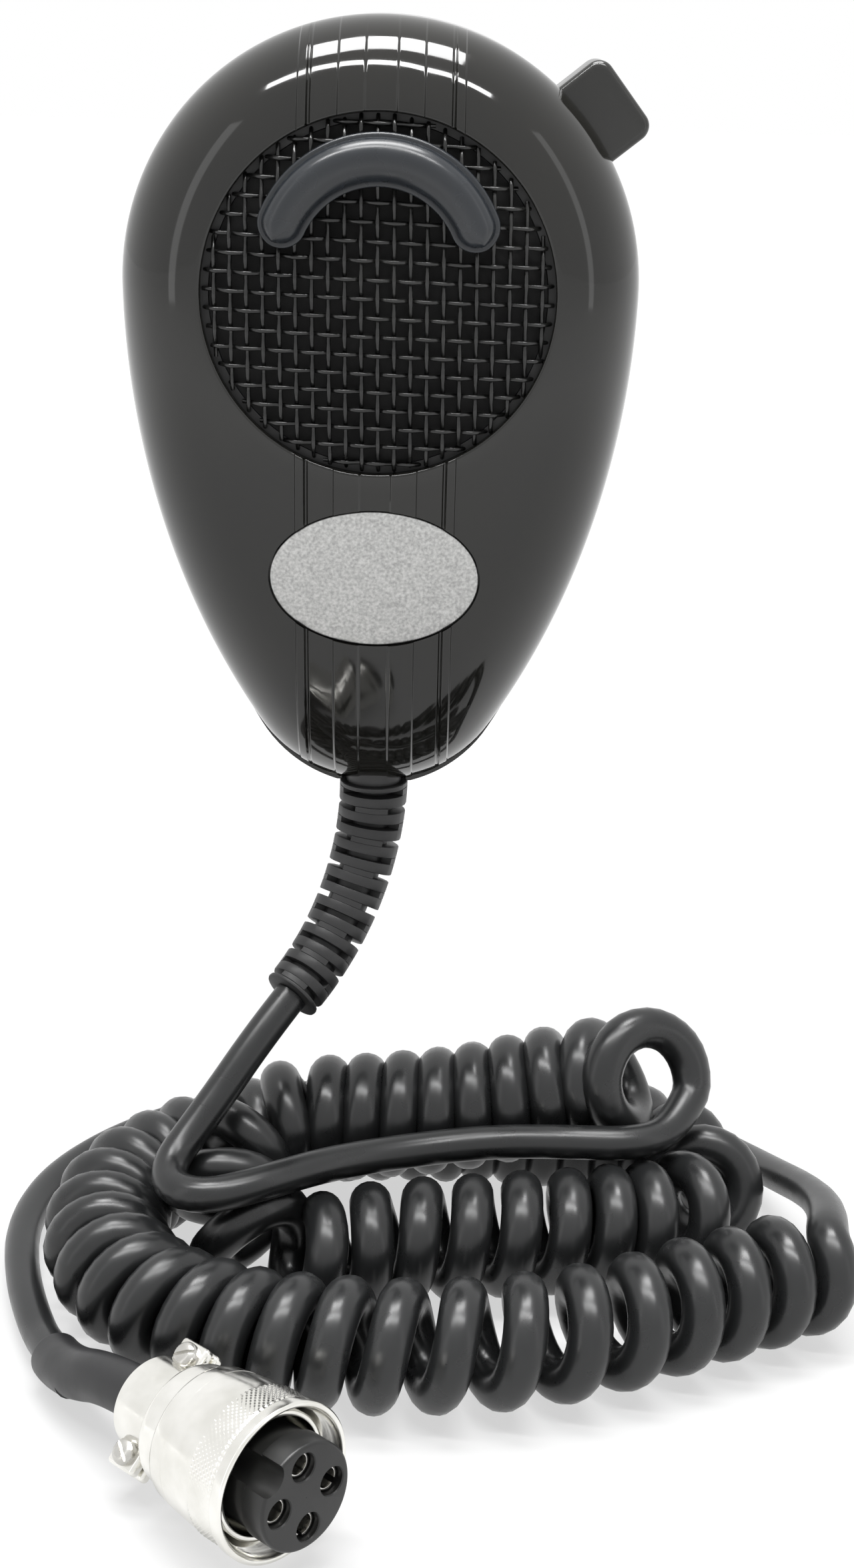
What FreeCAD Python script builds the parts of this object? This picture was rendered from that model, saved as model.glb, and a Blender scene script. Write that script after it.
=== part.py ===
"""Hand microphone with a round woven grille, a press-to-talk button, a curly cord
and a four-pin screw plug.

Frame, in millimetres: the origin is on the axis of the hang-up button, in the middle of
its head.  +Z runs up the case, the grille faces -Y and the press-to-talk button is at the
upper +X side.  The curly cord lies in a loose spiral on a surface below the case.
"""
import FreeCAD, Part
import math
import os

import Sketcher
from FreeCAD import Placement, Rotation, Vector

TINY = 1e-7
CORD_SIDES = 10
COIL_SIDES = 12

doc = FreeCAD.newDocument("hand_microphone")

# ---------------------------------------------------------------- driving dimensions
SIZES = {
    # case outline, seen from the front
    "head_radius": 32.3,
    "head_height": 1.4,
    "tip_radius": 17.6,
    "tip_drop": 47.4,
    "flank_radius": 116.0,
    "tip_flat_inset": 0.7,
    # case depth
    "case_front": 44.0,
    "case_back": 7.5,
    "parting_depth": 24.0,
    "front_crown": 180.0,
    "back_crown": 260.0,
    "front_round": 11.0,
    "back_round": 8.0,
    "wall": 2.2,
    "inner_bevel_front": 6.5,
    "inner_bevel_back": 4.5,
    # raised panels and beads that run down the case
    "rib_height": 0.3,
    "panel_from": 1.9,
    "panel_to": 5.0,
    "bead_from": 8.8,
    "bead_to": 9.75,
    # grille
    "mesh_radius": 21.3,
    "mesh_gap": 0.4,
    "mesh_crown": 100.0,
    "mesh_front": 44.4,
    "wire_width": 0.5,
    "wire_pitch_across": 1.9,
    "wire_pitch_down": 2.1,
    "weave_height": 0.36,
    "weave_tilt": 3.3,
    "ring_outer": 24.4,
    "ring_inner": 20.2,
    "ring_back": 38.2,
    "ring_flange": 1.2,
    "seat_gap": 0.1,
    "screen_gap": 0.3,
    # lip bar on the grille
    "bar_radius": 14.3,
    "bar_rise": 4.4,
    "bar_width": 5.0,
    "bar_thinning": 0.9,
    "bar_height": 2.6,
    "bar_span": 164.0,
    "bar_foot": 0.7,
    # badge
    "badge_length": 26.0,
    "badge_height": 17.8,
    "badge_drop": 33.3,
    "badge_depth": 1.0,
    "badge_gap": 0.15,
    # hang-up button
    "button_head_radius": 7.0,
    "button_head_thick": 3.0,
    "button_neck_radius": 4.25,
    "button_pad_radius": 8.0,
    "button_pad_height": 0.6,
    "button_screw_radius": 1.5,
    "button_screw_reach": 8.6,
    "button_rim": 0.48,
    # case screws
    "screw_radius": 1.4,
    "screw_head_radius": 2.7,
    "screw_head_thick": 1.7,
    "screw_reach": 17.0,
    "boss_radius": 2.9,
    "top_screw_rise": 28.0,
    "low_screw_out": 15.0,
    "low_screw_drop": 27.0,
    "recess_floor": 11.6,
    "recess_wall": 1.4,
    # press-to-talk button
    "ptt_angle": 38.5,
    "ptt_length": 11.0,
    "ptt_width": 9.4,
    "ptt_proud": 5.5,
    "ptt_travel": 3.0,
    "ptt_gap": 0.25,
    "ptt_round": 1.6,
    "ptt_flange": 1.3,
    "ptt_stem": 3.4,
    # switch behind the button
    "leaf_thick": 0.4,
    "leaf_width": 4.4,
    "leaf_pivot": 11.5,
    "leaf_reach": 2.5,
    "leaf_gap": 0.2,
    "leaf_knuckle": 0.45,
    "contact_gap": 4.6,
    "stack_length": 6.0,
    # microphone cartridge
    "cartridge_radius": 14.0,
    "cartridge_depth": 8.5,
    "gasket_depth": 3.4,
    # strain relief
    "relief_bend_radius": 36.5,
    "relief_bend_angle": 54.0,
    "relief_heading": 226.3,
    "relief_root_radius": 4.6,
    "relief_end_radius": 4.0,
    "relief_core_radius": 3.1,
    "relief_neck_radius": 3.8,
    "relief_collar": 2.2,
    "relief_rings": 14.0,
    "relief_ring_thick": 1.5,
    "relief_depth": 23.9,
    "relief_flange_rise": 4.8,
    "relief_flange_thick": 1.6,
    # cord and plug
    "cord_diameter": 4.6,
    "coil_diameter": 16.2,
    "sleeve_diameter": 6.4,
    "plug_length": 30.0,
    "plug_out": 25.4,
    "plug_ahead": 85.4,
    "plug_sink": 0.4,
    "plug_yaw": -44.5,
    "plug_pitch": -2.3,
    "nut_radius": 9.5,
    "nut_length": 13.5,
    "nut_wall": 1.4,
    "nut_gap": 0.06,
    "shell_radius": 7.6,
    "insert_radius": 6.4,
    "insert_step": 0.4,
    "insert_proud": 3.6,
    "seat_depth": 5.5,
    "socket_circle": 7.4,
    "socket_radius": 1.5,
    "contact_bore": 1.0,
    "contact_wall": 0.35,
    "clamp_radius": 5.6,
    "clamp_length": 8.0,
    "clamp_step": 0.6,
    "clamp_tilt": 42.0,
    "key_tilt": 48.0,
    "split_gap": 0.35,
    "ear_thick": 1.3,
    "clamp_screw_head": 1.6,
}

sheet = doc.addObject("Spreadsheet::Sheet", "Sizes")
for row, (alias, number) in enumerate(SIZES.items(), start=1):
    sheet.set(f"A{row}", alias)
    sheet.set(f"B{row}", str(number))
    sheet.setAlias(f"B{row}", alias)
doc.recompute()


def size(alias):
    """Number held in the sheet under this alias."""
    return float(getattr(sheet, alias))


def bind(thing, **expressions):
    """Bind properties of a document object to expressions on the sheet."""
    for name, text in expressions.items():
        thing.setExpression(name.replace("__", "."), text)
    return thing


def feature(label, shape):
    """Document object that holds a shape made with Part's own functions."""
    thing = doc.addObject("Part::Feature", label)
    thing.Label = label
    thing.Shape = shape
    return thing


def plane_of(body, role):
    """Origin plane of a body, found by its role."""
    return next(item for item in body.Origin.OriginFeatures if item.Role == role)


def new_body(label):
    body = doc.addObject("PartDesign::Body", label)
    body.Label = label
    return body


def new_sketch(body, role, name):
    sketch = body.newObject("Sketcher::SketchObject", name)
    sketch.AttachmentSupport = [(plane_of(body, role), "")]
    sketch.MapMode = "FlatFace"
    return sketch


def cylinder(radius, start, end):
    """Cylinder between two points."""
    axis = end - start
    return Part.makeCylinder(radius, axis.Length, start, axis)


def revolved(profile, axis_point, axis):
    """Solid of revolution of a closed list of points."""
    face = Part.Face(Part.makePolygon(profile + [profile[0]]))
    return face.revolve(axis_point, axis, 360)


# ---------------------------------------------------------------- case forms
NODES = []


def node(thing, label=None):
    """Mark a document object as a sub-part that is written out."""
    if label:
        thing.Label = label
    NODES.append(thing)
    return thing


def outline_body(label, inset):
    """Teardrop outline of four tangent arcs, drawn in XZ and padded along Y."""
    head = size("head_radius") - inset
    tip = size("tip_radius") - inset
    flank = size("flank_radius") - inset
    head_z = size("head_height")
    tip_z = head_z - size("tip_drop")
    reach_head = flank - head
    reach_tip = flank - tip
    span = head_z - tip_z
    rise = (reach_head**2 - reach_tip**2 + span**2) / (2 * span)
    flank_x = math.sqrt(reach_head**2 - rise**2)
    flank_z = head_z - rise
    head_turn = math.atan2(rise, flank_x)
    tip_turn = math.atan2(flank_z - tip_z, flank_x)

    body = new_body(label)
    sketch = new_sketch(body, "XZ_Plane", label + "_outline")
    normal = Vector(0, 0, 1)

    def arc(x, y, radius, first, last):
        circle = Part.Circle(Vector(x, y, 0), normal, radius)
        return sketch.addGeometry(Part.ArcOfCircle(circle, first, last), False)

    top = arc(0, head_z, head, head_turn, math.pi - head_turn)
    left = arc(flank_x, flank_z, flank, math.pi - head_turn, math.pi + tip_turn)
    low = arc(0, tip_z, tip, math.pi + tip_turn, 2 * math.pi - tip_turn)
    right = arc(-flank_x, flank_z, flank, -tip_turn, head_turn)
    for first, second in ((top, left), (left, low), (low, right), (right, top)):
        sketch.addConstraint(Sketcher.Constraint("Tangent", first, 2, second, 1))
    for centre in (top, low):
        sketch.addConstraint(Sketcher.Constraint("PointOnObject", centre, 3, -2))
    sketch.addConstraint(Sketcher.Constraint("Equal", left, right))
    named = (
        ("Radius", top, "head_radius"),
        ("Radius", low, "tip_radius"),
        ("Radius", right, "flank_radius"),
    )
    for kind, edge, alias in named:
        index = sketch.addConstraint(Sketcher.Constraint(kind, edge, size(alias) - inset))
        sketch.setExpression(f"Constraints[{index}]", f"(Sizes.{alias} - {inset}) * 1 mm")
    index = sketch.addConstraint(Sketcher.Constraint("DistanceY", -1, 1, top, 3, head_z))
    sketch.setExpression(f"Constraints[{index}]", "Sizes.head_height * 1 mm")
    index = sketch.addConstraint(Sketcher.Constraint("DistanceY", low, 3, top, 3, span))
    sketch.setExpression(f"Constraints[{index}]", "Sizes.tip_drop * 1 mm")

    pad = body.newObject("PartDesign::Pad", label + "_pad")
    pad.Profile = sketch
    pad.Midplane = True
    bind(pad, Length="Sizes.case_front * 3 * 1 mm")
    return body


def crown_sphere(label, inset, front):
    """Ball whose skin is the crowned front or back of the case."""
    ball = doc.addObject("Part::Sphere", label)
    crown = "front_crown" if front else "back_crown"
    bind(ball, Radius=f"(Sizes.{crown} - {inset}) * 1 mm")
    if front:
        place = "Sizes.front_crown - Sizes.case_front"
    else:
        place = "-Sizes.back_crown - Sizes.case_back"
    ball.setExpression("Placement.Base.y", f"({place}) * 1 mm")
    ball.setExpression("Placement.Base.z", "Sizes.head_height * 1 mm")
    return ball


def case_form(label, inset, front_round, back_round, bevel=False):
    """Case-shaped solid, drawn in by an inset, with rounded or bevelled rims."""
    body = outline_body(label + "_outline", inset)
    front = crown_sphere(label + "_front", inset, True)
    back = crown_sphere(label + "_back", inset, False)
    block = doc.addObject("Part::MultiCommon", label + "_block")
    block.Shapes = [body, front, back]
    doc.recompute()

    def on_ball(edge, ball):
        middle = edge.valueAt((edge.FirstParameter + edge.LastParameter) / 2)
        return abs((middle - ball.Placement.Base).Length - ball.Radius.Value) < 1e-4

    picked = []
    for number, edge in enumerate(block.Shape.Edges, start=1):
        if on_ball(edge, front):
            picked.append((number, front_round, front_round))
        elif on_ball(edge, back):
            picked.append((number, back_round, back_round))
    kind = "Part::Chamfer" if bevel else "Part::Fillet"
    rims = doc.addObject(kind, label)
    rims.Base = block
    rims.Edges = picked
    doc.recompute()
    return rims


def combine(kind, label, base, tool):
    thing = doc.addObject(kind, label)
    thing.Base = base
    thing.Tool = tool
    return thing


def gather(kind, label, things):
    thing = doc.addObject(kind, label)
    thing.Shapes = things
    return thing


outer_form = case_form("outer_form", 0.0, size("front_round"), size("back_round"))
inner_form = case_form(
    "inner_form",
    size("wall"),
    size("inner_bevel_front"),
    size("inner_bevel_back"),
    bevel=True,
)


def lifted_form(label, side):
    """The case form moved out by the height of its ribs, forward or back."""
    lift = doc.addObject("Part::Compound", label)
    lift.Links = [outer_form]
    lift.setExpression("Placement.Base.y", f"{side} * Sizes.rib_height * 1 mm")
    return lift


front_lift = lifted_form("front_lift", -1)
back_lift = lifted_form("back_lift", 1)


# ---------------------------------------------------------------- case tools
PARTING = -size("parting_depth")
FRONT = -size("case_front")
BACK = -size("case_back")
HEAD = Vector(0, PARTING, size("head_height"))
REARWARD = Vector(0, 1, 0)
FAR = 2 * size("case_front")


def half_space(label, front):
    """Block that holds everything in front of the parting plane, or behind it."""
    block = doc.addObject("Part::Box", label)
    bind(
        block,
        Length="Sizes.case_front * 4 * 1 mm",
        Width="Sizes.case_front * 2 * 1 mm",
        Height="Sizes.case_front * 4 * 1 mm",
    )
    block.setExpression("Placement.Base.x", "-Sizes.case_front * 2 * 1 mm")
    block.setExpression("Placement.Base.z", "-Sizes.case_front * 2 * 1 mm")
    edge = "-Sizes.parting_depth - Sizes.case_front * 2" if front else "-Sizes.parting_depth"
    block.setExpression("Placement.Base.y", f"({edge}) * 1 mm")
    return block


def rib_blades():
    """Upright plates that mark the raised panels and the beads, front and back."""
    plates = []
    for name in ("panel", "bead"):
        for side in (-1, 1):
            blade = doc.addObject("Part::Box", f"{name}_{'left' if side < 0 else 'right'}")
            bind(
                blade,
                Length=f"(Sizes.{name}_to - Sizes.{name}_from) * 1 mm",
                Width="Sizes.case_front * 2 * 1 mm",
                Height="Sizes.case_front * 4 * 1 mm",
            )
            low_side = f"Sizes.{name}_from" if side > 0 else f"-Sizes.{name}_to"
            blade.setExpression("Placement.Base.x", f"({low_side}) * 1 mm")
            blade.setExpression("Placement.Base.y", "-Sizes.case_front * 1.5 * 1 mm")
            blade.setExpression("Placement.Base.z", "-Sizes.case_front * 2 * 1 mm")
            plates.append(blade)
    return gather("Part::MultiFuse", "rib_blades", plates)


blades = rib_blades()


# ---------------------------------------------------------------- press-to-talk frame
def ptt_place():
    """Placement whose +X runs out of the case along the button and +Z up the wall."""
    turn = Rotation(Vector(0, 1, 0), -size("ptt_angle"))
    return Placement(HEAD, turn)


PTT = ptt_place()


def ptt_block(out_from, out_to, width, up_from, up_to):
    """Box in the button's own frame: out along its travel, across, and up the wall."""
    corner = Vector(out_from, -width / 2, up_from)
    block = Part.makeBox(out_to - out_from, width, up_to - up_from, corner)
    block.Placement = PTT
    return block


inner_radius = size("head_radius") - size("wall")
flange_half = size("ptt_length") / 2 + 1.0
flange_out = math.sqrt(inner_radius**2 - flange_half**2) - size("ptt_gap")
flange_in = flange_out - size("ptt_flange")
stem_in = flange_in - size("ptt_stem")
ptt_tip = size("head_radius") + size("ptt_proud")


def make_ptt_button():
    """Rounded plunger with a flange inside the wall and a stem that meets the leaf."""
    half = size("ptt_length") / 2
    plunger = ptt_block(flange_in, ptt_tip, size("ptt_width"), -half, half)
    length = ptt_tip - flange_in
    long_edges = [edge for edge in plunger.Edges if abs(edge.Length - length) < 1e-6]
    plunger = plunger.makeFillet(size("ptt_round"), long_edges)
    outer_face = max(plunger.Faces, key=lambda face: PTT.inverse().multVec(face.CenterOfMass).x)
    plunger = plunger.makeFillet(size("ptt_round") * 0.7, outer_face.Edges)
    flange = ptt_block(flange_in, flange_out, size("ptt_width") + 2.0, -flange_half, flange_half)
    stem = ptt_block(stem_in, flange_in, 3.0, -0.8, 0.8)
    return plunger.fuse([flange, stem]).removeSplitter()


ptt_button = node(feature("ptt_button", make_ptt_button()))

slot_half = size("ptt_length") / 2 + size("ptt_gap")
ptt_slot = feature(
    "ptt_slot",
    ptt_block(
        flange_out - 1.0,
        ptt_tip,
        size("ptt_width") + 2 * size("ptt_gap"),
        -slot_half,
        slot_half,
    ),
)

# ---------------------------------------------------------------- switch
leaf_face = stem_in - size("leaf_gap")
leaf_back = leaf_face - size("leaf_thick")
contact_face = leaf_back - size("contact_gap")
root_up = -size("leaf_pivot")
stack_top = root_up - 0.8
stack_low = stack_top - size("stack_length")
stack_out = leaf_face + 1.6
stack_in = contact_face - size("leaf_thick") - 1.6
stack_width = size("leaf_width") + 1.6


def make_moving_leaf():
    """Spring blade that turns about a rolled root and carries a contact rivet."""
    width = size("leaf_width")
    blade = ptt_block(leaf_back, leaf_face, width, root_up, size("leaf_reach"))
    rivet = ptt_block(leaf_back - 0.4, leaf_back, 1.6, -0.8, 0.8)
    middle = (leaf_back + leaf_face) / 2
    start = PTT.multVec(Vector(middle, -width / 2, root_up))
    knuckle = cylinder(size("leaf_knuckle"), start, start + REARWARD * width)
    return blade.fuse([rivet, knuckle])


def make_fixed_leaf():
    width = size("leaf_width")
    back = contact_face - size("leaf_thick")
    blade = ptt_block(back, contact_face, width, stack_top, size("leaf_reach"))
    rivet = ptt_block(contact_face, contact_face + 0.4, 1.6, -0.8, 0.8)
    return blade.fuse(rivet)


def make_switch_stack():
    """Insulating block under the blades, its outer corner shaped to the wall."""
    block = ptt_block(stack_in, stack_out, stack_width, stack_low, stack_top)
    room_radius = inner_radius - size("ptt_gap")
    room = cylinder(room_radius, HEAD - REARWARD * stack_width, HEAD + REARWARD * stack_width)
    return block.common(room)


moving_leaf = node(feature("moving_leaf", make_moving_leaf()))
fixed_leaf = node(feature("fixed_leaf", make_fixed_leaf()))
switch_stack = node(feature("switch_stack", make_switch_stack()))

# post of the rear half that carries the switch stack
post_centre = PTT.multVec(
    Vector((stack_in + stack_out) / 2, stack_width / 2, (stack_low + stack_top) / 2)
)
post_radius = size("stack_length") / 2
switch_post = feature(
    "switch_post",
    cylinder(post_radius, post_centre, Vector(post_centre.x, 0, post_centre.z)),
)


# ---------------------------------------------------------------- screws
SCREW_PLACES = (
    (0.0, size("top_screw_rise")),
    (-size("low_screw_out"), -size("low_screw_drop")),
    (size("low_screw_out"), -size("low_screw_drop")),
)
recess_floor = -size("recess_floor")


def cross_cut(radius, face_y, depth, x, z):
    """Cross-shaped driver recess in a screw head that faces +Y."""
    arm = radius * 0.62
    half = radius * 0.13
    wide = Part.makeBox(2 * arm, depth, 2 * half, Vector(x - arm, face_y - depth, z - half))
    tall = Part.makeBox(2 * half, depth, 2 * arm, Vector(x - half, face_y - depth, z - arm))
    return wide.fuse(tall)


def pan_screw(x, z, seat_y, head_radius, head_thick, shank_radius, reach):
    """Pan-head screw whose head sits on a seat and faces +Y."""
    head = cylinder(head_radius, Vector(x, seat_y, z), Vector(x, seat_y + head_thick, z))
    rim = [edge for edge in head.Edges if abs(edge.CenterOfMass.y - seat_y - head_thick) < TINY]
    rim = [edge for edge in rim if edge.Length > 2 * head_radius]
    head = head.makeChamfer(head_thick * 0.4, rim)
    shank = cylinder(shank_radius, Vector(x, seat_y - reach, z), Vector(x, seat_y, z))
    cross = cross_cut(head_radius, seat_y + head_thick, head_thick * 0.6, x, z)
    return head.fuse(shank).cut(cross)


def make_case_screws():
    screws = []
    for x, z in SCREW_PLACES:
        screws.append(
            pan_screw(
                x,
                z,
                recess_floor,
                size("screw_head_radius"),
                size("screw_head_thick"),
                size("screw_radius"),
                size("screw_reach"),
            )
        )
    return Part.makeCompound(screws)


case_screws = node(feature("case_screws", make_case_screws()))

posts = []
recesses = []
recess_bosses = []
front_holes = []
rear_holes = []
for x, z in SCREW_PLACES:
    posts.append(cylinder(size("boss_radius"), Vector(x, FRONT, z), Vector(x, 0, z)))
    recess_radius = size("screw_head_radius") + 0.4
    recesses.append(cylinder(recess_radius, Vector(x, recess_floor, z), Vector(x, 0, z)))
    boss_front = Vector(x, recess_floor - size("recess_wall"), z)
    boss_radius = recess_radius + size("recess_wall")
    recess_bosses.append(cylinder(boss_radius, boss_front, Vector(x, 0, z)))
    deep = recess_floor - size("screw_reach") - 0.5
    front_hole = size("screw_radius") + 0.05
    rear_hole = size("screw_radius") + 0.25
    front_holes.append(cylinder(front_hole, Vector(x, deep, z), Vector(x, PARTING, z)))
    rear_holes.append(cylinder(rear_hole, Vector(x, PARTING, z), Vector(x, recess_floor, z)))


def compound(label, shapes):
    return feature(label, shapes[0].fuse(shapes[1:]) if len(shapes) > 1 else shapes[0])


screw_posts = compound("screw_posts", posts)
inner_posts = combine("Part::Common", "inner_posts", inner_form, screw_posts)
boss_blanks = compound("boss_blanks", recess_bosses)
inner_bosses = combine("Part::Common", "inner_bosses", inner_form, boss_blanks)
inner_switch_post = combine("Part::Common", "inner_switch_post", inner_form, switch_post)

# ---------------------------------------------------------------- hang-up button
neck_seat = BACK + size("button_pad_height")
half_head = size("button_head_thick") / 2


def make_button_head():
    """Round head with eased rims and a recess for its screw."""
    thick = size("button_head_thick")
    radius = size("button_head_radius")
    head = cylinder(radius, Vector(0, -half_head, 0), Vector(0, half_head, 0))
    rims = [edge for edge in head.Edges if edge.Length > 6 * radius]
    head = head.makeChamfer(size("button_rim"), rims)
    recess = cylinder(size("screw_head_radius") + 0.3, Vector(0, 0.2, 0), Vector(0, thick, 0))
    hole = cylinder(size("button_screw_radius") + 0.1, Vector(0, -thick, 0), Vector(0, thick, 0))
    return head.cut([recess, hole])


def make_button_neck():
    neck = cylinder(
        size("button_neck_radius"), Vector(0, neck_seat, 0), Vector(0, -half_head, 0)
    )
    hole = cylinder(size("button_screw_radius") + 0.1, Vector(0, FRONT, 0), Vector(0, 1, 0))
    return neck.cut(hole)


button_depth = size("button_screw_reach")
button_head = node(feature("button_head", make_button_head()))
button_neck = node(feature("button_neck", make_button_neck()))
button_screw = node(
    feature(
        "button_screw",
        pan_screw(
            0,
            0,
            0.2,
            size("screw_head_radius"),
            half_head - 0.3,
            size("button_screw_radius"),
            0.2 - neck_seat + button_depth,
        ),
    )
)
button_pad = feature(
    "button_pad",
    cylinder(
        size("button_pad_radius"),
        Vector(0, BACK - size("wall"), 0),
        Vector(0, neck_seat, 0),
    ),
)
button_boss = feature(
    "button_boss",
    cylinder(
        size("button_neck_radius"),
        Vector(0, neck_seat - button_depth - 1.0, 0),
        Vector(0, BACK - size("wall") / 2, 0),
    ),
)
button_hole = feature(
    "button_hole",
    cylinder(
        size("button_screw_radius") + 0.05,
        Vector(0, neck_seat - button_depth - 0.5, 0),
        Vector(0, 0, 0),
    ),
)

# ---------------------------------------------------------------- strain relief way
relief_y = -size("relief_depth")
tip_z = size("head_height") - size("tip_drop")
base_z = tip_z - size("tip_radius") + size("tip_flat_inset")
flange_low = base_z + size("relief_flange_rise")
flange_top = flange_low + size("relief_flange_thick")
neck_gap = 0.08


def below(z):
    return Vector(0, relief_y, z)


relief_way = feature(
    "relief_way",
    cylinder(size("relief_neck_radius") + neck_gap, below(base_z - 3), below(flange_top + 4)).fuse(
        cylinder(
            size("relief_neck_radius") + 1.1, below(flange_low - 0.1), below(flange_top + 0.1)
        )
    ),
)
tip_slice = feature(
    "tip_slice", Part.makeBox(FAR, FAR, FAR, Vector(-FAR / 2, -FAR, base_z - FAR))
)

# ---------------------------------------------------------------- grille opening and badge
opening_radius = size("mesh_radius") + size("mesh_gap")


def on_head_axis(y):
    return Vector(0, y, size("head_height"))


grille_way = feature(
    "grille_way", cylinder(opening_radius, on_head_axis(FRONT - 5), on_head_axis(FRONT + 10))
)
ring_back = -size("ring_back")
ring_front = ring_back - size("ring_flange")
gasket_front = ring_back + size("seat_gap")
gasket_back = gasket_front + size("gasket_depth")
ring_seat = feature(
    "ring_seat",
    cylinder(
        size("ring_outer") + size("seat_gap"),
        on_head_axis(ring_front - size("seat_gap") / 2),
        on_head_axis(gasket_back + size("seat_gap")),
    ),
)


def ellipse_prism(half_x, half_z, centre_z, front, back):
    """Elliptical prism along Y."""
    curve = Part.Ellipse(Vector(half_x, 0, 0), Vector(0, half_z, 0), Vector(0, 0, 0))
    face = Part.Face(Part.Wire(curve.toShape()))
    prism = face.extrude(Vector(0, 0, back - front))
    prism.Placement = Placement(Vector(0, back, centre_z), Rotation(Vector(1, 0, 0), 90))
    return prism


badge_z = -size("badge_drop")
badge_hole = feature(
    "badge_hole",
    ellipse_prism(
        size("badge_length") / 2 + size("badge_gap"),
        size("badge_height") / 2 + size("badge_gap"),
        badge_z,
        FRONT - 5,
        PARTING,
    ),
)
badge_blank = feature(
    "badge_blank",
    ellipse_prism(
        size("badge_length") / 2, size("badge_height") / 2, badge_z, FRONT - 5, PARTING
    ),
)
badge_floor = crown_sphere("badge_floor", size("badge_depth"), True)
badge_back = crown_sphere("badge_back", size("badge_depth") - 0.02, True)
badge_face = crown_sphere("badge_face", 0.1, True)
badge_pocket = combine("Part::Cut", "badge_pocket", badge_hole, badge_floor)
badge_skin = combine("Part::Common", "badge_skin", badge_blank, badge_face)
badge_plate = node(combine("Part::Cut", "badge_plate", badge_skin, badge_back))

# ---------------------------------------------------------------- the two case halves
front_half = half_space("front_half", True)
rear_half = half_space("rear_half", False)
skin = combine("Part::Cut", "skin", outer_form, inner_form)
front_skin = combine("Part::Common", "front_skin", skin, front_half)
rear_skin = combine("Part::Common", "rear_skin", skin, rear_half)
front_posts = combine("Part::Common", "front_posts", inner_posts, front_half)
rear_posts = combine("Part::Common", "rear_posts", inner_posts, rear_half)
front_ribs = gather("Part::MultiCommon", "front_ribs", [front_lift, blades, front_half])
rear_ribs = gather("Part::MultiCommon", "rear_ribs", [back_lift, blades, rear_half])
front_rib_skin = combine("Part::Cut", "front_rib_skin", front_ribs, inner_form)
rear_rib_skin = combine("Part::Cut", "rear_rib_skin", rear_ribs, inner_form)
front_solid = gather(
    "Part::MultiFuse", "front_solid", [front_skin, front_posts, front_rib_skin]
)
rear_solid = gather(
    "Part::MultiFuse",
    "rear_solid",
    [
        rear_skin,
        rear_posts,
        inner_bosses,
        inner_switch_post,
        rear_rib_skin,
        button_pad,
        button_boss,
    ],
)
front_cuts = gather(
    "Part::MultiFuse",
    "front_cuts",
    [
        compound("front_holes", front_holes),
        grille_way,
        ring_seat,
        ptt_slot,
        relief_way,
        tip_slice,
        badge_pocket,
    ],
)
rear_cuts = gather(
    "Part::MultiFuse",
    "rear_cuts",
    [
        compound("rear_holes", rear_holes),
        compound("recesses", recesses),
        ptt_slot,
        relief_way,
        tip_slice,
        button_hole,
    ],
)
front_shell = node(combine("Part::Cut", "front_shell", front_solid, front_cuts))
rear_shell = node(combine("Part::Cut", "rear_shell", rear_solid, rear_cuts))
doc.recompute()

# ---------------------------------------------------------------- woven grille
mesh_ball = Vector(0, size("mesh_crown") - size("mesh_front"), size("head_height"))


def mesh_depth(across, up):
    """Y of the middle surface of the crowned mesh, at offsets from the head's centre."""
    inside = size("mesh_crown") ** 2 - across**2 - up**2
    return mesh_ball.y - math.sqrt(inside)


def woven_wire(offset, cross_lines, first_sign, upright):
    """One wire of the plain weave: a zigzag band that goes over and under its crossings."""
    half = size("wire_width") / 2
    reach = math.sqrt(size("mesh_radius") ** 2 - offset**2)
    stations = [-reach]
    heights = [0.0]
    for number, line in enumerate(cross_lines):
        if abs(line) < reach - half:
            stations.append(line)
            heights.append(size("weave_height") * first_sign * (-1) ** number)
    stations.append(reach)
    heights.append(0.0)
    middle = [
        mesh_depth(offset, station) + height for station, height in zip(stations, heights)
    ]
    near = [(station, depth - half) for station, depth in zip(stations, middle)]
    far = [(station, depth + half) for station, depth in zip(stations, middle)]
    outline = near + far[::-1]
    if upright:
        points = [Vector(offset - half, depth, station) for station, depth in outline]
        along = Vector(2 * half, 0, 0)
    else:
        points = [Vector(station, depth, offset - half) for station, depth in outline]
        along = Vector(0, 0, 2 * half)
    return Part.Face(Part.makePolygon(points + points[:1])).extrude(along)


def weave_lines(pitch):
    """Evenly spaced wire positions that fit inside the round grille."""
    count = int((size("mesh_radius") - size("wire_width")) / pitch)
    return [number * pitch for number in range(-count, count + 1)]


def make_grille_mesh():
    uprights = weave_lines(size("wire_pitch_across"))
    levels = weave_lines(size("wire_pitch_down"))
    wires = []
    for number, across in enumerate(uprights):
        wires.append(woven_wire(across, levels, (-1) ** number, True))
    for number, up in enumerate(levels):
        wires.append(woven_wire(up, uprights, -((-1) ** number), False))
    return Part.makeCompound(wires)


grille_mesh = node(feature("grille_mesh", make_grille_mesh()))
tilt = Rotation(Vector(0, 1, 0), size("weave_tilt"))
grille_mesh.Placement = Placement(on_head_axis(0), tilt)


def turned(profile):
    """Solid turned about the head's front-to-back axis from (radius, y) points."""
    points = [Vector(radius, y, size("head_height")) for radius, y in profile]
    return revolved(points, on_head_axis(0), REARWARD)


mesh_edge = mesh_depth(size("mesh_radius"), 0) + size("weave_height") + size("wire_width") / 2
ring_lip = mesh_edge + 0.1
screen_radius = size("ring_inner") - 0.1

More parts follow.
